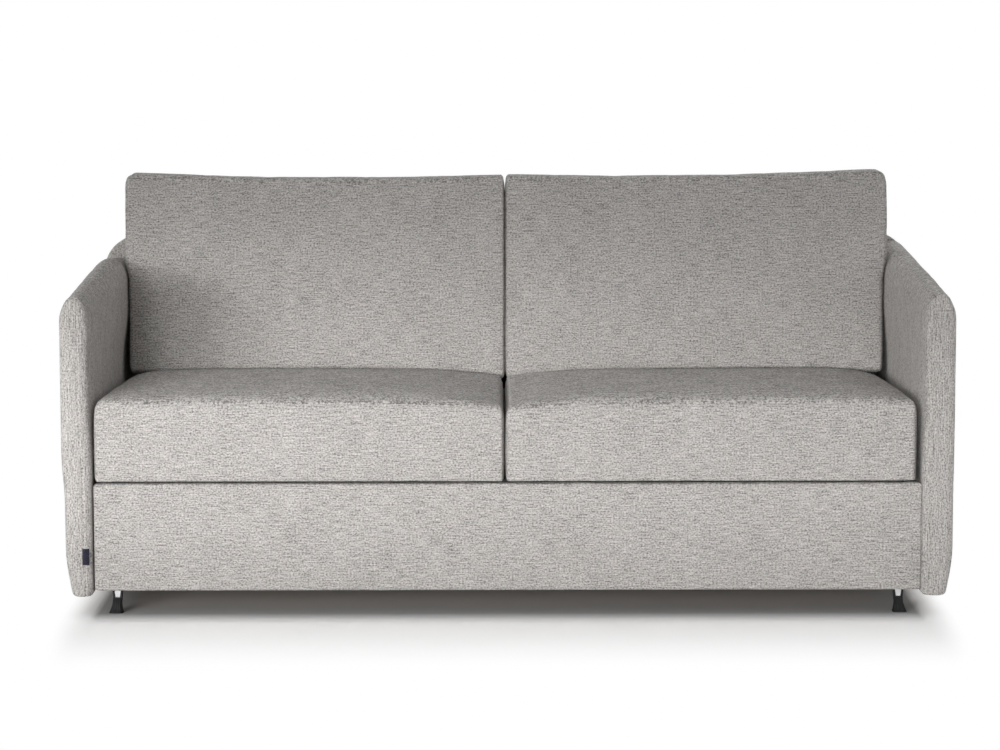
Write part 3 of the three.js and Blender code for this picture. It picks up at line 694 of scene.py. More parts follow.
def ripple(points, pitch, seed):
    """Smooth noise from -1 to 1 at each point, with a pitch for each axis"""
    shift = Vector((seed * 7.3, seed * 3.1, seed * 5.7))
    scaled = points / np.array(pitch)
    return np.array([noise.noise(Vector(p) + shift) for p in scaled])


def finish_piece(item, body, finish, replaced=(), smooth=0):
    """Gives a piece its material and body, hides the nodes that it stands for and adds subdivision when
    asked
    """
    item.data.materials.clear()
    item.data.materials.append(material(finish))
    if smooth:
        finer = item.modifiers.new("Smooth", "SUBSURF")
        finer.levels = smooth
        finer.render_levels = smooth
    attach(item, body)
    if replaced:
        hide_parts(*replaced)


def ring_faces(rings, sides, first=0, closed=False):
    """The quads between rings of points that follow each other"""
    faces = []
    for i in range(rings if closed else rings - 1):
        a, b = first + i * sides, first + (i + 1) % rings * sides
        faces += [[a + k, a + (k + 1) % sides, b + (k + 1) % sides, b + k] for k in range(sides)]
    return faces


def cord_along(name, loop, radius, sides=8):
    """A round cord of cloth along a closed loop of points"""
    ahead = np.roll(loop, -1, 0) - np.roll(loop, 1, 0)
    ahead /= np.linalg.norm(ahead, axis=1, keepdims=True)
    up = np.tile((0.0, 0.0, 1.0), (len(loop), 1))
    up[np.abs(ahead[:, 2]) > 0.9] = (0, 1, 0)
    side = np.cross(ahead, up)
    side /= np.linalg.norm(side, axis=1, keepdims=True)
    over = np.cross(side, ahead)
    turns = [2 * math.pi * k / sides for k in range(sides)]
    rings = [loop + radius * (math.cos(turn) * side + math.sin(turn) * over) for turn in turns]
    skin = np.stack(rings, 1).reshape(-1, 3)
    return mesh_object(name, skin, ring_faces(len(loop), sides, closed=True))


STITCH_RINGS, STITCH_SIDES = 5, 6
STITCH_HEIGHT = 0.6  # a stitch's height for its width
STITCH_TIP = 0.08  # how blunt its ends are
STITCH_STAND = 0.35  # how far its middle stands out of the cloth, in half widths


def lay_stitches(name, path, normals, length, gap, radius):
    """Short stitches of thread along a path, half sunk in the cloth"""
    points, faces = [], []
    reached = np.concatenate([[0], np.cumsum(np.linalg.norm(np.diff(path, axis=0), axis=1))])

    def along(values, at):
        return np.array([np.interp(at, reached, values[:, a]) for a in AXES])

    start = gap
    while start + length < reached[-1]:
        first = len(points)
        for r in range(STITCH_RINGS):
            share = r / (STITCH_RINGS - 1)
            at = start + share * length
            centre = along(path, at)
            ahead = along(path, at + 0.5 * length) - along(path, at - 0.5 * length)
            ahead /= max(np.linalg.norm(ahead), 1e-9)
            out = along(normals, at)
            out -= ahead * out.dot(ahead)
            out /= max(np.linalg.norm(out), 1e-9)
            side = np.cross(ahead, out)
            bulge = math.sin(math.pi * (STITCH_TIP + (1 - 2 * STITCH_TIP) * share))
            for k in range(STITCH_SIDES):
                turn = 2 * math.pi * k / STITCH_SIDES
                ring = STITCH_HEIGHT * math.sin(turn) * out + math.cos(turn) * side
                points.append(centre + radius * bulge * (ring + STITCH_STAND * out))
        # Turned round, because these rings run the other way about
        faces += [face[:1] + face[:0:-1] for face in ring_faces(STITCH_RINGS, STITCH_SIDES, first)]
        faces.append([first + k for k in range(STITCH_SIDES)])
        faces.append([first + (STITCH_RINGS - 1) * STITCH_SIDES + k for k in reversed(range(STITCH_SIDES))])
        start += length + gap
    return mesh_object(name, points, faces)


# Sizes of the soft pieces that their boxes don't give
CREST_HALF = 34 * MM  # rounding across an arm's top
CREST_DROP = 50 * MM  # how far down the rounding of the top reaches
ARM_FRONT_ROUND = 20 * MM
ARM_HEM_ROUND = 10 * MM
ARM_SHOULDER = {"left": 4 * MM, "right": 6 * MM}  # how far the outer corner of its front top draws in
ARM_SHOULDER_DROP = 14 * MM
ARM_SHOULDER_HEIGHT = 22 * MM
ARM_RISE = 50 * MM
ARM_SWELL = 2 * MM
ARM_SLIM = 6.5 * MM  # how far the pulled cloth draws the outer side in towards the front
ARM_SETTLE = {"left": 6 * MM, "right": 0.0}  # how far the padding of each top has settled
ARM_EASE = 9 * MM  # how far the inner front edge rounds away above the seat
ARM_EASE_DEPTH = 80 * MM
ARM_EASE_HEIGHTS = (0.32, 0.46)
ARM_SEAM_INSET = 20 * MM  # from an arm's inner face to its middle seam
STITCH_ROW = 7 * MM  # from a seam to the stitches beside it
STITCH_RADIUS = 0.55 * MM
ARM_SPARE = {"left": 1.5 * MM, "right": -2.5 * MM}  # how far the inner face stands back from the solid's
ARM_BULGE = {"left": 13 * MM, "right": 10 * MM}  # how far the padding presses in beside the back cushion
ARM_BULGE_FROM, ARM_BULGE_DEPTH = -0.44, 0.56
ARM_BULGE_FOOT, ARM_BULGE_HEIGHT = 0.46, 0.12
ARM_DIP = {"left": 40 * MM, "right": 5 * MM}  # how far the crest falls again towards the rear shell
ARM_DIP_FROM, ARM_DIP_DEPTH = 0.08, 0.332
HEM_TUCK = 15 * MM  # how far the outer sides draw in at the hem
HEM_TUCK_HEIGHT = 100 * MM
SIDE_TUCK = {"left": 6 * MM, "right": 1 * MM, "both": 3.5 * MM}  # how far they draw in below the seat
SIDE_TUCK_HEIGHTS = (0.24, 0.35)
UNDER_RECESS = 3 * MM  # the boards stand this much prouder than the cloth pulled round them
SHELL_CORNER = 80 * MM
SHELL_SETTLE = 3 * MM  # how far its top leans down to the left and up to the right
SHELL_EDGE = 16 * MM
PANEL_ROUND = 9 * MM
BOARD_RIM = 12 * MM
CREST_SQUARE = 0.6

SEAT_CROWN = 11 * MM
SEAT_SWELL = 7 * MM
SEAT_PULL = 5 * MM
SEAT_ENDS = {"left": (-875.5 * MM, -8 * MM), "right": (-5 * MM, 866 * MM)}
SEAT_INNER_DROP, SEAT_INNER_POWER = 15 * MM, 3.5  # fall of the top towards the inner end
SEAT_OUTER_DROP, SEAT_OUTER_POWER = 31 * MM, 12.0  # and towards the rear of the outer end
SEAT_OUTER_REAR = 1.8
SEAT_SAG = 2 * MM  # how far the nose hangs towards the front panel
SEAT_NOSE_DEPTH = 40 * MM
SEAT_END_ROUNDS = (9 * MM, 16 * MM)  # at the inner and the outer end
SEAT_ROUNDS = ((40 * MM, 24 * MM), (10 * MM, 40 * MM))

BACK_CROWN = 13 * MM
BACK_DIP = 8 * MM
BACK_LEAN = 50 * MM
BACK_LEAN_POWER = 2.2
BACK_SINK = 15 * MM  # how far the underside hangs behind the seat cushion
BACK_SINK_INNER = 14 * MM  # how much further it hangs at the inner end
BACK_TOPS = {"left": (-3.5 * MM, -9.5 * MM), "right": (3.5 * MM, -9 * MM)}  # at the outer and the inner end
BACK_ENDS = {"left": (-872.5 * MM, -4.6 * MM), "right": (-2.6 * MM, 870.5 * MM)}
BACK_CORNER = {"left": 1 * MM, "right": 7 * MM}  # how far the outer top corner falls
BACK_CORNER_POWER = 40
BACK_PINCH = 9 * MM  # how far the arm's padding presses the outer side in
BACK_PINCH_HEIGHTS = (0.665, 0.715)
BACK_PINCH_POWER = 8
BACK_END_ROUNDS = (9 * MM, 18 * MM)  # at the inner and the outer end
BACK_ROUNDS = ((32 * MM, 14 * MM), (22 * MM, 32 * MM))

MATTRESS_ROUND = 12 * MM
QUILT_PITCH = 128 * MM
QUILT_DEPTH = 4.5 * MM
QUILT_REACH = 13 * MM
PIPING_RADIUS = 3 * MM

CUSHION_HOLD = 0.9  # how firmly a seam holds the cloth in the simulation
SIM_FRAMES = 20
SIM_CLOTH = {
    "quality": 6, "mass": 0.4, "tension_stiffness": 22, "compression_stiffness": 22, "shear_stiffness": 9,
    "bending_stiffness": 1.2, "air_damping": 4, "use_pressure": True, "uniform_pressure_force": 4.0,
    "shrink_min": -0.012,
}


def smooth(value, start, end):
    """0 before the start, 1 after the end, and an even slope between"""
    share = np.clip((value - start) / (end - start), 0, 1)
    return share * share * (3 - 2 * share)


def tuck_at(z, hem, word):
    """How far an outer side draws in at a height"""
    share = np.clip((hem + HEM_TUCK_HEIGHT - z) / HEM_TUCK_HEIGHT, 0, None)
    return HEM_TUCK * share ** 1.5 + SIDE_TUCK[word] * (1 - smooth(z, *SIDE_TUCK_HEIGHTS))


def soften(block, members, height, pitch, seed):
    """Gives cloth the slight waviness of hand-stretched padding"""
    wave = ripple(block.points[members], pitch, seed)
    block.points[members] += height * wave[:, None] * block.normals()[members]


def pucker(block, line_points, height, reach, pitch, seed):
    """Fine gathers that fade out away from a seam"""
    seam = block.points[line_points]
    axis = int(np.argmax(np.ptp(seam, axis=0)))
    order = seam[np.argsort(seam[:, axis])]
    others = [a for a in AXES if a != axis]
    near = np.stack([np.interp(block.points[:, axis], order[:, axis], order[:, a]) for a in others], 1)
    distance = np.linalg.norm(block.points[:, others] - near, axis=1)
    gather = np.array([noise.noise(Vector((p / pitch, seed * 2.3, 0.0))) for p in block.points[:, axis]])
    fade = np.exp(-((distance / reach) ** 2)) * (1 - np.exp(-((distance / (0.3 * reach)) ** 2)))
    block.points += (height * gather * fade)[:, None] * block.normals()


def build_arm(word, sign):
    """An arm's cover: two side panels sewn together down the middle of its front and top"""
    node = f"{word}_arm_cover"
    low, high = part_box(node)
    inner = min(abs(low.x), abs(high.x)) + ARM_SPARE[word]
    outer = max(abs(low.x), abs(high.x))
    ends = sorted((sign * inner, sign * outer))
    seam_x = sign * (inner + ARM_SEAM_INSET)
    rows = (seam_x - STITCH_ROW, seam_x, seam_x + STITCH_ROW)
    block = Block(
        (ends[0], low.y, low.z), (ends[1], high.y, high.z - ARM_RISE),
        ((CREST_HALF, CREST_HALF), (ARM_FRONT_ROUND, 0), (ARM_HEM_ROUND, CREST_DROP)),
        cell=(4 * MM, 13 * MM, 13 * MM), steps=7, extras=(rows, (), ()), squareness=CREST_SQUARE,
    )
    x, y, z = block.points.T
    u, v, w = block.shares.T
    outside = (1 + sign * u) / 2
    rail_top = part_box(f"{word}_seat_rail")[1].z
    above = np.clip((z - rail_top) / (high.z - ARM_RISE - rail_top), 0, 1)
    swell = ARM_SWELL * (1 - v * v) * 4 * above * (1 - above) * (1 - outside)
    rearward = smooth(y, ARM_BULGE_FROM, ARM_BULGE_FROM + ARM_BULGE_DEPTH)
    upward = smooth(z, ARM_BULGE_FOOT, ARM_BULGE_FOOT + ARM_BULGE_HEIGHT)
    swell += ARM_BULGE[word] * (1 - outside) * rearward * upward
    under = block.on(z=0) & ~block.rim("xy")
    slim = ARM_SLIM * (1 - ((1 + v) / 2) ** 3)
    upper = np.clip((z - ARM_EASE_HEIGHTS[0]) / (ARM_EASE_HEIGHTS[1] - ARM_EASE_HEIGHTS[0]), 0, 1)
    ease = ARM_EASE * (np.clip(low.y + ARM_EASE_DEPTH - y, 0, None) / ARM_EASE_DEPTH) ** 2 * upper
    level = (z - high.z + ARM_RISE + ARM_SHOULDER_DROP) / ARM_SHOULDER_HEIGHT
    shoulder = ARM_SHOULDER[word] * np.exp(-(level ** 2)) * ((1 - v) / 2) ** 4
    dip = ARM_DIP[word] * np.clip((y - ARM_DIP_FROM) / ARM_DIP_DEPTH, 0, None) ** 1.5
    rise = (ARM_RISE * (1 + v) / 2 - ARM_SETTLE[word] - dip) * (1 + w) / 2
    tuck = tuck_at(z, low.z, word)
    across = x - sign * (outside * (tuck + slim + shoulder) + swell - ease * (1 - outside))
    block.points = np.stack([across, y, z + rise + UNDER_RECESS * under], 1)
    row_a, seam, row_b = (block.line("x", row) for row in rows)
    values = cloth_values()
    front, top = block.on(y=0), block.on(z=1)
    open_sides = ~block.on(y=1) & ~block.on(z=0)
    soften(block, open_sides, height=0.9 * MM, pitch=(0.09, 0.16, 0.22), seed=1 + sign)
    upper_sides = open_sides & (z > rail_top)
    soften(block, upper_sides, height=0.5 * MM, pitch=(0.05, 0.05, 0.09), seed=3 + sign)
    pucker(block, seam & front, height=0.9 * MM, reach=16 * MM, pitch=17 * MM, seed=5 + sign)
    pucker(block, seam & top, height=0.8 * MM, reach=14 * MM, pitch=21 * MM, seed=7 + sign)
    block.sink(seam & (front | top), values.seam_depth)
    outer_end, inner_end = (1, 0) if sign > 0 else (0, 1)
    block.sink(block.on(x=outer_end, y=0), 0.55 * values.seam_depth)
    block.sink(block.on(y=0, z=1), 0.55 * values.seam_depth)
    block.sink(block.on(x=inner_end, y=0), 0.4 * values.seam_depth)
    cover = block.to_object(f"{word}_arm_upholstery")
    finish_piece(cover, "base", "cloth_upright", (node,), smooth=1)
    normals = block.normals()
    for key, row in (("a", row_a), ("b", row_b)):
        column = np.flatnonzero(row & (front | top))
        order = np.lexsort((block.points[column, 1], block.lattice[column, 2], top[column]))
        path = column[order]
        stitches = lay_stitches(
            f"{word}_arm_stitches_{key}", block.points[path], normals[path], values.stitch_length,
            values.stitch_gap, STITCH_RADIUS,
        )
        finish_piece(stitches, "base", "thread")


def build_shell():
    """The rear shell's cover, with a sewn-in rear panel"""
    low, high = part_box("rear_shell_cover")
    block = Block(
        low, high, ((SHELL_CORNER, SHELL_CORNER), (0, SHELL_EDGE), (ARM_HEM_ROUND, SHELL_CORNER)),
        cell=(16 * MM, 12 * MM, 14 * MM), steps=7, extras=((0.0,), (), ()), squareness=0.2,
    )
    middle = block.line("x", 0.0) & block.on(y=1)
    x, y, z = block.points.T
    u = block.shares[:, 0]
    settle = SHELL_SETTLE * u * (1 + block.shares[:, 2]) / 2
    under = block.on(z=0) & ~block.rim("xy")
    block.points = np.stack([x - u * tuck_at(z, low.z, "both"), y, z + UNDER_RECESS * under + settle], 1)
    soften(block, block.on(y=1), height=1.2 * MM, pitch=(0.16, 0.2, 0.2), seed=11)
    depth = 0.8 * cloth_values().seam_depth
    pucker(block, middle, height=0.8 * MM, reach=18 * MM, pitch=20 * MM, seed=12)
    block.sink(middle, depth)
    for ends in ({"z": 1}, {"x": 0}, {"x": 1}, {"z": 0}):
        block.sink(block.on(y=1, **ends), depth)
    cover = block.to_object("rear_shell_upholstery")
    finish_piece(cover, "base", "cloth_upright", ("rear_shell_cover",), smooth=1)


def build_panel():
    """The front panel's cover, with an upright seam down its middle"""
    low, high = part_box("front_panel_cover")
    rounds = ((PANEL_ROUND, PANEL_ROUND), (PANEL_ROUND, 0), (PANEL_ROUND, PANEL_ROUND))
    rim = tuple((low[a] + BOARD_RIM, high[a] - BOARD_RIM) for a in AXES)
    block = Block(
        low, high, rounds, cell=(12 * MM, 10 * MM, 12 * MM), steps=4,
        extras=((0.0, *rim[0]), (), rim[2]), squareness=CREST_SQUARE,
    )
    seam = block.line("x", 0.0) & block.on(y=0)
    inside = (np.abs(block.points[:, 0]) < high.x - BOARD_RIM + MM) & block.on(y=1)
    inside &= (block.points[:, 2] > rim[2][0] - MM) & (block.points[:, 2] < rim[2][1] + MM)
    block.points[inside, 1] -= UNDER_RECESS
    soften(block, block.on(y=0), height=1.1 * MM, pitch=(0.14, 0.2, 0.09), seed=21)
    pucker(block, seam, height=0.7 * MM, reach=14 * MM, pitch=18 * MM, seed=22)
    block.sink(seam, 0.7 * cloth_values().seam_depth)
    cover = block.to_object("front_panel_upholstery")
    finish_piece(cover, "base", "cloth_level", ("front_panel_cover",), smooth=1)


# Cushions
def swell_cover(item, held, target, cap):
    """Lets a cushion's cover swell against its seams by simulation. The swell is scaled so that most of it
    is at most the target, and no point goes further than the cap."""
    rest = coordinates(item.data)
    group = item.vertex_groups.new(name="held")
    for weight in np.unique(held[held > 0]):
        group.add([int(i) for i in np.flatnonzero(held == weight)], float(weight), "REPLACE")
    cloth = item.modifiers.new("Cloth", "CLOTH")
    for key, value in SIM_CLOTH.items():
        setattr(cloth.settings, key, value)
    cloth.settings.vertex_group_mass = "held"
    cloth.settings.effector_weights.gravity = 0
    cloth.collision_settings.use_collision = False
    cloth.collision_settings.use_self_collision = False
    cloth.point_cache.frame_start = 1
    cloth.point_cache.frame_end = SIM_FRAMES
    for step in range(1, SIM_FRAMES + 1):
        bpy.context.scene.frame_set(step)
    depsgraph = bpy.context.evaluated_depsgraph_get()
    swollen = coordinates(item.evaluated_get(depsgraph).data)
    item.modifiers.remove(cloth)
    item.vertex_groups.remove(group)
    bpy.context.scene.frame_set(1)
    move = swollen - rest
    size = np.linalg.norm(move, axis=1, keepdims=True)
    move *= target / max(np.percentile(size, 99), 1e-6)
    size = np.maximum(np.linalg.norm(move, axis=1, keepdims=True), 1e-9)
    set_coordinates(item.data, rest + move * cap * np.tanh(size / cap) / size)


def finish_cushion(block, node, body, held, target, seams, gathers, seed):
    """Simulates a cushion's swell, then sews its seams and dresses it"""
    item = block.to_object(f"{node}_upholstery")
    swell_cover(item, held, target, cap=2.2 * target)
    block.points = coordinates(item.data)
    for i, seam in enumerate(gathers):
        pucker(block, seam, height=1.1 * MM, reach=20 * MM, pitch=24 * MM, seed=seed + i)
    block.sink(seams, cloth_values().seam_depth)
    set_coordinates(item.data, block.points)
    finish_piece(item, body, "cloth_level", (node,), smooth=1)


def build_seat_cushion(word, sign):
    """A seat cushion: one panel rolls over its nose, and side panels are sewn in at its ends"""
    node = f"{word}_seat_cushion"
    low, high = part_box(node)
    ends = SEAT_ENDS[word]
    block = Block(
        (ends[0], low.y + SEAT_SWELL, low.z), (ends[1], high.y, high.z - SEAT_CROWN),
        (SEAT_END_ROUNDS[::sign], *SEAT_ROUNDS), cell=(13 * MM, 13 * MM, 12 * MM), steps=6, squareness=1.2,
    )
    x, y, z = block.points.T
    u, v, w = block.shares.T
    crown = SEAT_CROWN * (1 - u ** 4) * (1 - v ** 4) * (1 + w) / 2
    swell = SEAT_SWELL * (1 - u ** 4) * (1 - w * w) * (1 - v) / 2
    pull = SEAT_PULL * u * np.abs(w) ** 6 * (1 - v ** 4)
    nose = np.clip(low.y + SEAT_NOSE_DEPTH - y, 0, None) / SEAT_NOSE_DEPTH
    drop = SEAT_SAG * nose * (1 - w) / 2
    rear_share = ((1 + v) / 2) ** SEAT_OUTER_REAR
    drop += SEAT_INNER_DROP * np.clip(-sign * u, 0, None) ** SEAT_INNER_POWER * (1 + w) / 2
    drop += SEAT_OUTER_DROP * rear_share * np.clip(sign * u, 0, None) ** SEAT_OUTER_POWER * (1 + w) / 2
    block.points = np.stack([x - pull, y - 0.6 * swell, z + 0.6 * crown - drop], 1)
    bottom = block.on(z=0)
    soften(block, ~bottom, height=1.3 * MM, pitch=(0.15, 0.13, 0.09), seed=31 + sign)
    end_seams = block.rim("x") & block.rim("yz")
    held = np.where(bottom, 1.0, 0.0)
    held[end_seams] = CUSHION_HOLD
    gathers = [block.on(x=0, z=1), block.on(x=1, z=1), block.on(x=0, y=0), block.on(x=1, y=0)]
    finish_cushion(
        block, node, "seat_section", held, 5.5 * MM, end_seams | (block.rim("y") & bottom), gathers,
        seed=33 + sign,
    )


def build_back_cushion(word, sign):
    """A back cushion: a front panel and a rear panel joined by a strip all round"""
    node = f"{word}_back_cushion"
    low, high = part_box(node)
    ends = BACK_ENDS[word]
    block = Block(
        (ends[0], low.y + BACK_CROWN * 0.4, low.z), (ends[1], high.y, high.z),
        (BACK_END_ROUNDS[::sign], *BACK_ROUNDS), cell=(13 * MM, 13 * MM, 13 * MM), steps=6, squareness=1.6,
    )
    x, y, z = block.points.T
    u, v, w = block.shares.T
    front_share = (1 - v) / 2
    inner_share = (1 - sign * u) / 2
    lean = BACK_LEAN * front_share * ((1 + w) / 2) ** BACK_LEAN_POWER
    crown = BACK_CROWN * (1 - u ** 4) * (1 - w ** 4) * front_share
    outer_top, inner_top = BACK_TOPS[word]
    top = outer_top + (inner_top - outer_top) * inner_share - BACK_DIP * (1 - u * u)
    top -= BACK_CORNER[word] * np.clip(sign * u, 0, None) ** BACK_CORNER_POWER
    hang = (BACK_SINK + BACK_SINK_INNER * inner_share ** 4) * ((1 - w) / 2) ** 2
    pinch = BACK_PINCH * np.clip(sign * u, 0, None) ** BACK_PINCH_POWER
    pinch *= 1 - smooth(z, *BACK_PINCH_HEIGHTS)
    block.points = np.stack([x - sign * pinch, y + lean - 0.6 * crown, z + top * (1 + w) / 2 - hang], 1)
    rear, rim = block.on(y=1), block.rim("xz")
    soften(block, ~rear, height=1.3 * MM, pitch=(0.17, 0.12, 0.13), seed=41 + sign)
    held = np.where(rear, 1.0, 0.0)
    held[block.on(y=0) & rim] = CUSHION_HOLD
    gathers = [block.on(x=0, y=0), block.on(x=1, y=0), block.on(y=0, z=0), block.on(y=0, z=1)]
    finish_cushion(
        block, node, "back_section", held, 6 * MM, block.rim("y") & rim, gathers, seed=43 + sign
    )


def build_mattress(place):
    """A quilted section of the mattress with a piped edge at its face and at its underside"""
    node = f"mattress_{place}"
    body = {"head": "head_section", "middle": "seat_section", "foot": "back_section"}[place]
    low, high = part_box(node)
    thin = int(np.argmin(high - low))
    wide = [a for a in AXES if a != thin]
    cell = [11 * MM] * 3
    cell[thin] = 14 * MM
    rounds = ((MATTRESS_ROUND, MATTRESS_ROUND),) * 3
    block = Block(low, high, rounds, cell=cell, steps=3)
    faces = (block.lattice[:, thin] == 0) | (block.lattice[:, thin] == block.last[thin])
    sunk = np.zeros(len(block.points))
    for a in wide:
        length = high[a] - low[a]
        pitch = length / round(length / QUILT_PITCH)
        offset = (block.points[:, a] - low[a]) / pitch
        away = np.abs(offset - np.round(offset)) * pitch
        inner = (offset > 0.5) & (offset < length / pitch - 0.5)
        sunk = np.maximum(sunk, QUILT_DEPTH * np.exp(-((away / QUILT_REACH) ** 2)) * inner)
    block.points -= np.where(faces, sunk, 0)[:, None] * block.normals()
    item = block.to_object(f"{node}_cover")
    finish_piece(item, body, "ticking", (node,))
    for end, side in ((0, "a"), (1, "b")):
        edge = block.on(**{"xyz"[thin]: end}) & block.rim("xyz"[a] for a in wide)
        loop = block.points[edge]
        first, second = ((loop - loop.mean(0)) / np.subtract(high, low))[:, wide].T
        turn = np.arctan2(second, first)
        piping = cord_along(f"{node}_piping_{side}", loop[np.argsort(turn)], PIPING_RADIUS)
        finish_piece(piping, body, "ticking")


# Feet: a ribbed black boot that flares to its sole, with a bent steel stem standing in it
BOOT_HEIGHT = 34 * MM
BOOT_TOP_HALF = (10 * MM, 9 * MM)
BOOT_SOLE_HALF = (15 * MM, 13 * MM)
BOOT_WAIST = 0.62  # the level above which the boot no longer flares
BOOT_FLARE_POWER = 1.35
BOOT_KICK = 3.5 * MM
BOOT_RIBS = 5
RIB_DEPTH = 0.8 * MM
RIB_FACING, RIB_TOP = 0.6, 0.97  # how squarely outwards a ribbed side faces, and the level where ribs end
BOOT_SIDES = 64
BOOT_LEVELS = (0, 0.06, 0.09, 0.12, 0.3, 0.5, BOOT_WAIST, 0.8, 0.94, 1.0)
BOOT_FLANGE, BOOT_FLANGE_TOP = 0.6 * MM, 0.09  # its sole's edge, and the level where that ends
BOOT_TIP = 1.2 * MM  # how far its top edge draws in
BOOT_INSET = 14 * MM  # from the inner end of its solid to its axis
BOOT_SQUARE = 5  # the power of its outline, where 2 is round
STEM_WIDTHS = (8.5 * MM, 16 * MM)  # at the boot's top and under the tube
STEM_THICKNESS = 5 * MM
STEM_SINK, WING_SINK = 0.8, 0.9  # the boot's level from which each rises
STEM_GAP, WING_GAP = 0.3 * MM, 0.3 * MM  # to the tube above it, and to the stem
WING_THICKNESS = 3 * MM
WING_FOOT = 1.6  # how much thicker it is at its foot
WING_DEPTHS = (8 * MM, 6 * MM)
WING_OVERHANG = 1.5 * MM
FOOT_ROUND = 0.6 * MM


def boot_ring(level, facing):
    """The outline of a boot at a level, round its axis"""
    flare = max(0.0, 1 - level / BOOT_WAIST) ** BOOT_FLARE_POWER
    half = [top + (sole - top) * flare for top, sole in zip(BOOT_TOP_HALF, BOOT_SOLE_HALF)]
    edge = BOOT_FLANGE if level <= BOOT_FLANGE_TOP else -BOOT_TIP if level == 1.0 else 0.0
    ring = []
    for k in range(BOOT_SIDES):
        turn = 2 * math.pi * k / BOOT_SIDES
        c, s = math.cos(turn), math.sin(turn)
        size = (abs(c) ** BOOT_SQUARE + abs(s) ** BOOT_SQUARE) ** (-1 / BOOT_SQUARE)
        rib = 0.0
        if facing * s > RIB_FACING and BOOT_FLANGE_TOP < level < RIB_TOP:
            rib = RIB_DEPTH * max(0.0, math.cos(math.pi * BOOT_RIBS * (c / max(abs(s), 0.3)))) ** 2
        ring.append(((half[0] + edge - rib) * size * c, (half[1] + edge - rib) * size * s))
    return ring


def build_foot(end, word, sign):
    """One foot under a cross tube"""
    node = f"{end}_{word}_foot"
    low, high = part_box(node)
    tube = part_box(f"base_{end}_tube")
    y = (tube[0].y + tube[1].y) / 2
    x = sign * (min(abs(low.x), abs(high.x)) + BOOT_INSET)
    facing = -1 if end == "front" else 1
    points = [
        (x + across + sign * BOOT_KICK * (1 - level), y + ahead, low.z + BOOT_HEIGHT * level)
        for level in BOOT_LEVELS for across, ahead in boot_ring(level, facing)
    ]
    faces = ring_faces(len(BOOT_LEVELS), BOOT_SIDES)
    faces.append(list(range(BOOT_SIDES))[::-1])
    faces.append([(len(BOOT_LEVELS) - 1) * BOOT_SIDES + k for k in range(BOOT_SIDES)])
    boot = mesh_object(f"{node}_boot", points, faces)
    boot.data.shade_flat()
    for face in boot.data.polygons:
        face.use_smooth = len(face.vertices) == 4
    top = tube[0].z - STEM_GAP
    foot_half, top_half = (width / 2 for width in STEM_WIDTHS)
    wing_heights = (low.z + BOOT_HEIGHT * WING_SINK, top - WING_OVERHANG)
    wings = []
    for side, place in ((-1, "in"), (1, "out")):
        spans = [
            sorted((side * (half + WING_GAP), side * (half + WING_GAP + thickness)))
            for half, thickness in ((foot_half, WING_FOOT * WING_THICKNESS), (top_half, WING_THICKNESS))
        ]
        wings.append(tapered_plate(f"{node}_wing_{place}", x, y, wing_heights, spans, WING_DEPTHS))
    stem = tapered_plate(
        f"{node}_stem", x, y, (low.z + BOOT_HEIGHT * STEM_SINK, top),
        ((-foot_half, foot_half), (-top_half, top_half)), (STEM_THICKNESS, STEM_THICKNESS),
    )
    finish_piece(boot, "base", "plastic", (node,))
    for wing in wings:
        finish_piece(wing, "base", "plastic")
    finish_piece(stem, "base", "plated")
    for item in (boot, stem, *wings):
        round_edges(item, FOOT_ROUND)


def tapered_plate(name, x, y, zs, spans, halves):
    """An upright plate whose span across and half depth change from its foot to its top"""
    points = []
    for i, z in enumerate(zs):
        for dx, dy in ((0, -1), (1, -1), (1, 1), (0, 1)):
            points.append((x + spans[i][dx], y + dy * halves[i], z))
    faces = [[3, 2, 1, 0], [4, 5, 6, 7]] + [[k, (k + 1) % 4, 4 + (k + 1) % 4, 4 + k] for k in range(4)]
    item = mesh_object(name, points, faces)
    item.data.shade_flat()
    return item


def round_edges(item, width, segments=2):
    """Rounds the hard edges of a piece"""
    bevel = item.modifiers.new("Round", "BEVEL")
    bevel.width = width
    bevel.segments = segments
    bevel.limit_method = "ANGLE"
    bevel.angle_limit = math.radians(35)


# The tag: one folded loop of woven tape, caught in the seam of the left arm
TAG_LENGTH = 35 * MM
TAG_WIDTH = 15 * MM
TAG_BOTTOM = 111 * MM
TAG_STAND = 1.1 * MM
TAG_THICKNESS = 0.5 * MM
TAG_HOLLOW = 0.35  # width of the space inside the loop, as a share of the loop's
TAG_TURNS, TAG_ROWS = 16, 12
TAG_LIFT = 0.9 * MM  # how far its loose end bows off the arm
TAG_SLANT = 0.6 * MM
TAG_SINK = 1.2 * MM  # how deep its root lies in the seam


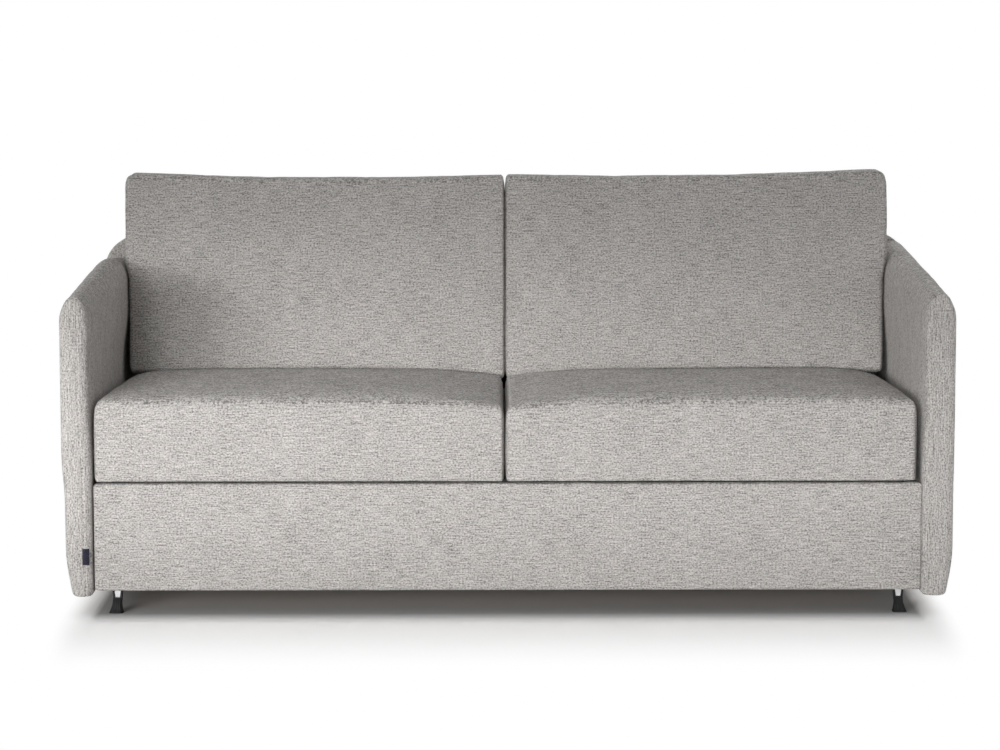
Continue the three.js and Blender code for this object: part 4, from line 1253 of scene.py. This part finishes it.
def build_tag():
    """The bare fabric tag on the left arm's front"""
    low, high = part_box("left_arm_cover")
    seam_x = high.x - ARM_SWELL - ARM_SEAM_INSET
    profile = []
    for k in range(TAG_TURNS + 1):
        turn = math.pi * k / TAG_TURNS
        across = TAG_WIDTH - TAG_STAND + TAG_STAND * math.sin(turn)
        profile.append((across, -TAG_STAND * math.cos(turn) / 2))
    profile = [(0.0, -TAG_STAND / 2)] + profile + [(0.0, TAG_STAND / 2)]
    inner = [(max(0.0, across - TAG_THICKNESS), out * TAG_HOLLOW) for across, out in profile]
    outline = profile + inner[::-1]
    points = []
    for r in range(TAG_ROWS + 1):
        share = r / TAG_ROWS
        lift = TAG_LIFT * math.sin(math.pi * share) ** 2
        for across, out in outline:
            drift = lift * (across / TAG_WIDTH) ** 2
            points.append((
                seam_x + across, low.y + TAG_SINK - TAG_STAND - drift + out,
                TAG_BOTTOM + TAG_LENGTH * share + TAG_SLANT * across / TAG_WIDTH,
            ))
    count = len(outline)
    faces = ring_faces(TAG_ROWS + 1, count)
    for first, turned in ((0, True), (TAG_ROWS * count, False)):
        for k in range(count // 2 - 1):
            ring = [first + k, first + k + 1, first + count - 2 - k, first + count - 1 - k]
            faces.append(ring[::-1] if turned else ring)
    tag = mesh_object("left_arm_tag", points, faces)
    finish_piece(tag, "base", "tag")


# The steel, wood and plastic that the frame already holds
CARRIED = (
    ("painted", ("_rail", "_bar", "_link", "_pivot_block", "_leg")),
    ("plated", ("_tube", "_pin")),
    ("plastic", ("_cap",)),
    ("beech", ("_slats",)),
    ("plywood", ("_board",)),
)
TURNING = ("_link", "_pivot_block", "_pin")  # pieces that turn in or on each other, with 0.3 mm of play
TURNING_ROUND = 0.2 * MM  # narrower than that play, so that their rounded edges stay clear


def dress_carried():
    """Gives every node that stays its finish and slightly rounded edges"""
    for name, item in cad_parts.items():
        for finish, endings in CARRIED:
            if name.endswith(endings):
                item.data.materials.clear()
                item.data.materials.append(material(finish))
                weld = item.modifiers.new("Weld", "WELD")
                weld.merge_threshold = 0.01 * MM
                round_edges(item, TURNING_ROUND if name.endswith(TURNING) else steel_values().bevel)


# Stage
FLOOR_HALF = 9.0
FLOOR_UNDER_PAINTED_SHADE = (0.56, 0.56, 0.56, 1.0)  # the floor as the camera sees it: darkened under the sofa as painted shade, and plain around it
FLOOR_AROUND = (1.34, 1.34, 1.34, 1.0)
FLOOR_EDGE = 0.12  # how far outside the sofa's outline the painted shade fades and the floor reaches its full gain
FLOOR_CLEAR = (0.06, 0.58)  # how far outside it the floor starts to fade to white, and is white
FLOOR_COLOUR = (0.72, 0.72, 0.72, 1.0)  # the light that it sends back to the sofa
FOOTPRINT = (0.87, 0.44)
FADE_STRETCH = (7.0, 1.0)  # how much faster the floor whitens sideways than forwards


def seen_mask(tree):
    """1 for what the camera, gloss and glass see, 0 for the light that falls on the sofa"""
    path = add_node(tree, "ShaderNodeLightPath")
    seen = calc(tree, "MAXIMUM", path.outputs["Is Camera Ray"], path.outputs["Is Glossy Ray"])
    return calc(tree, "MAXIMUM", seen, path.outputs["Is Transmission Ray"])


def build_floor():
    """A pale floor that keeps the sofa's shadow, has painted shade under and close around the sofa, and
    fades to white around it
    """
    corners = [(FLOOR_HALF * a, FLOOR_HALF * b, 0) for a, b in ((-1, -1), (1, -1), (1, 1), (-1, 1))]
    floor = mesh_object("studio_floor", corners, [[0, 1, 2, 3]])
    floor.location.z = -0.5 * MM
    finish = bpy.data.materials.new("studio_floor")
    finish.use_nodes = True
    tree = finish.node_tree
    tree.nodes.clear()
    leave = add_node(tree, "ShaderNodeOutputMaterial")
    seen = seen_mask(tree)
    ground = add_node(tree, "ShaderNodeBsdfDiffuse")
    white = add_node(tree, "ShaderNodeEmission", in_Strength=1.0)
    squares = []
    for part, half, stretch in zip(parts_of(tree, object_place(tree)), FOOTPRINT, FADE_STRETCH):
        beyond = calc(tree, "MAXIMUM", calc(tree, "SUBTRACT", calc(tree, "ABSOLUTE", part), half), 0.0)
        side = times(tree, beyond, stretch)
        squares.append(times(tree, side, side))
    away = calc(tree, "SQRT", calc(tree, "ADD", *squares))
    # Painted shade: the camera sees the floor darker under the sofa and near its outline, on top of the
    # shadow that the lamps cast
    painted_shade_gain = tint(tree, span(tree, away, 0.0, FLOOR_EDGE), FLOOR_UNDER_PAINTED_SHADE, FLOOR_AROUND)
    wire(tree, tint(tree, seen, FLOOR_COLOUR, painted_shade_gain), ground.inputs["Color"])
    fade = add_node(tree, "ShaderNodeMapRange", interpolation_type="SMOOTHSTEP")
    for i, term in enumerate((away, *FLOOR_CLEAR)):
        feed(tree, term, fade.inputs[i])
    mixed = add_node(tree, "ShaderNodeMixShader")
    wire(tree, times(tree, fade.outputs[0], seen), mixed.inputs[0])
    wire(tree, ground, mixed.inputs[1])
    wire(tree, white, mixed.inputs[2])
    wire(tree, mixed, leave.inputs["Surface"])
    floor.data.materials.append(finish)


def build_sky():
    """Even light from all sides, seen as white"""
    world = bpy.data.worlds.new("studio")
    bpy.context.scene.world = world
    world.use_nodes = True
    tree = world.node_tree
    back = tree.nodes["Background"]
    back.inputs["Color"].default_value = (1, 1, 1, 1)
    wire(tree, pick(tree, seen_mask(tree), stage_values().sky, 1.0), back.inputs["Strength"])


def add_lamp(name, place, aim, size, spread, power):
    """A soft lamp that shines at a point and keeps to a cone of so many degrees"""
    data = bpy.data.lights.new(name, "AREA")
    data.shape = "RECTANGLE"
    data.size, data.size_y = size
    data.spread = math.radians(spread)
    data.energy = power
    lamp = bpy.data.objects.new(name, data)
    lamp.location = place
    lamp.rotation_euler = (Vector(aim) - Vector(place)).to_track_quat("-Z", "Y").to_euler()
    lamp.visible_camera = False
    bpy.context.scene.collection.objects.link(lamp)


# Each lamp: whose power it has, its share of that, its place, its aim, its size and its cone in degrees
BAND_AIM, BAND_SIZE, BAND_SPREAD = (0, -0.35, 0.33), (2.6, 0.3), 12
LAMPS = {
    "key": ("key_power", 1, (-2.4, -6.0, 1.2), (0.05, -0.3, 0.02), (1.2, 1.2), 32),
    "band_left": ("band_power", 0.4, (-2.4, -6.0, 0.9), BAND_AIM, BAND_SIZE, BAND_SPREAD),
    "band_middle": ("band_power", 0.6, (-0.8, -6.0, 0.9), BAND_AIM, BAND_SIZE, BAND_SPREAD),
    "edge": ("edge_power", 1, (-2.3, -2.9, 0.75), (-0.98, -0.45, 0.42), (0.7, 0.7), 32),
    "side": ("side_power", 1, (2.8, -0.8, 1.1), (0, -0.1, 0.45), (1.2, 1.0), 180),
    "rear": ("rear_power", 1, (0.9, 4.4, 1.7), (0, 0.3, 0.4), (2.4, 1.2), 180),
}


def build_lamps():
    """A low key lamp far at the left, two wide bands of light across the seat, a narrow lamp on the left
    arm's front, and one lamp each at the right and behind"""
    for name, (power, share, place, aim, size, spread) in LAMPS.items():
        add_lamp(name, place, aim, size, spread, share * getattr(stage_values(), power))


SENSOR_WIDTH = 36  # millimetres


def build_camera():
    """The camera that the photograph was fitted with"""
    values = stage_values()
    data = bpy.data.cameras.new("camera")
    data.lens = values.lens
    data.sensor_width = SENSOR_WIDTH
    camera = bpy.data.objects.new("camera", data)
    camera.location = values.place
    turn = Matrix.Rotation(-values.yaw, 4, "Z") @ Matrix.Rotation(math.pi / 2 - values.pitch, 4, "X")
    camera.rotation_euler = (turn @ Matrix.Rotation(values.roll, 4, "Z")).to_euler()
    bpy.context.scene.collection.objects.link(camera)
    bpy.context.scene.camera = camera
    bpy.context.scene.view_settings.view_transform = "Standard"


# Operators
class SOFA_OT_stage(bpy.types.Operator):
    """Sets up the camera, the lamps, the sky and the floor"""

    bl_idname = "sofa.stage"
    bl_label = "Stage"

    def execute(self, context):
        build_camera()
        build_sky()
        build_lamps()
        build_floor()
        return {"FINISHED"}


class SOFA_OT_carried(bpy.types.Operator):
    """Finishes the steel, wood and plastic of the frame"""

    bl_idname = "sofa.carried"
    bl_label = "Frame finishes"

    def execute(self, context):
        dress_carried()
        return {"FINISHED"}


class SOFA_OT_arms(bpy.types.Operator):
    """Upholsters both arms and adds the bare tag"""

    bl_idname = "sofa.arms"
    bl_label = "Arms"

    def execute(self, context):
        for word, sign in SIDES:
            build_arm(word, sign)
        build_tag()
        return {"FINISHED"}


class SOFA_OT_shell(bpy.types.Operator):
    """Upholsters the rear shell"""

    bl_idname = "sofa.shell"
    bl_label = "Rear shell"

    def execute(self, context):
        build_shell()
        return {"FINISHED"}


class SOFA_OT_panel(bpy.types.Operator):
    """Upholsters the front panel"""

    bl_idname = "sofa.panel"
    bl_label = "Front panel"

    def execute(self, context):
        build_panel()
        return {"FINISHED"}


class SOFA_OT_seat_cushions(bpy.types.Operator):
    """Makes both seat cushions"""

    bl_idname = "sofa.seat_cushions"
    bl_label = "Seat cushions"

    def execute(self, context):
        for word, sign in SIDES:
            build_seat_cushion(word, sign)
        return {"FINISHED"}


class SOFA_OT_back_cushions(bpy.types.Operator):
    """Makes both back cushions"""

    bl_idname = "sofa.back_cushions"
    bl_label = "Back cushions"

    def execute(self, context):
        for word, sign in SIDES:
            build_back_cushion(word, sign)
        return {"FINISHED"}


class SOFA_OT_mattress(bpy.types.Operator):
    """Quilts and pipes the three mattress sections"""

    bl_idname = "sofa.mattress"
    bl_label = "Mattress"

    def execute(self, context):
        for place in ("head", "middle", "foot"):
            build_mattress(place)
        return {"FINISHED"}


class SOFA_OT_feet(bpy.types.Operator):
    """Makes the four feet"""

    bl_idname = "sofa.feet"
    bl_label = "Feet"

    def execute(self, context):
        for end in ENDS:
            for word, sign in SIDES:
                build_foot(end, word, sign)
        return {"FINISHED"}


OPERATORS = (
    SOFA_OT_stage, SOFA_OT_carried, SOFA_OT_arms, SOFA_OT_shell, SOFA_OT_panel, SOFA_OT_seat_cushions,
    SOFA_OT_back_cushions, SOFA_OT_mattress, SOFA_OT_feet,
)


class SOFA_PT_looks(bpy.types.Panel):
    """Lists the sofa's values and the operators that dress it"""

    bl_idname = "SOFA_PT_looks"
    bl_label = "Sleeper sofa"
    bl_space_type = "VIEW_3D"
    bl_region_type = "UI"
    bl_category = "Sleeper sofa"

    def draw(self, context):
        for name, group in GROUPS.items():
            box = self.layout.box()
            for key in group.__annotations__:
                box.prop(getattr(context.scene, name), key)
        for operator in OPERATORS:
            self.layout.operator(operator.bl_idname)


CLASSES = (*GROUPS.values(), *OPERATORS, SOFA_PT_looks)


def register():
    for cls in CLASSES:
        bpy.utils.register_class(cls)
    for name, group in GROUPS.items():
        setattr(bpy.types.Scene, name, bpy.props.PointerProperty(type=group))


def unregister():
    for name in GROUPS:
        delattr(bpy.types.Scene, name)
    for cls in reversed(CLASSES):
        bpy.utils.unregister_class(cls)


def main():
    register()
    for operator in OPERATORS:
        group, name = operator.bl_idname.split(".")
        getattr(getattr(bpy.ops, group), name)()


if __name__ == "__main__":
    main()
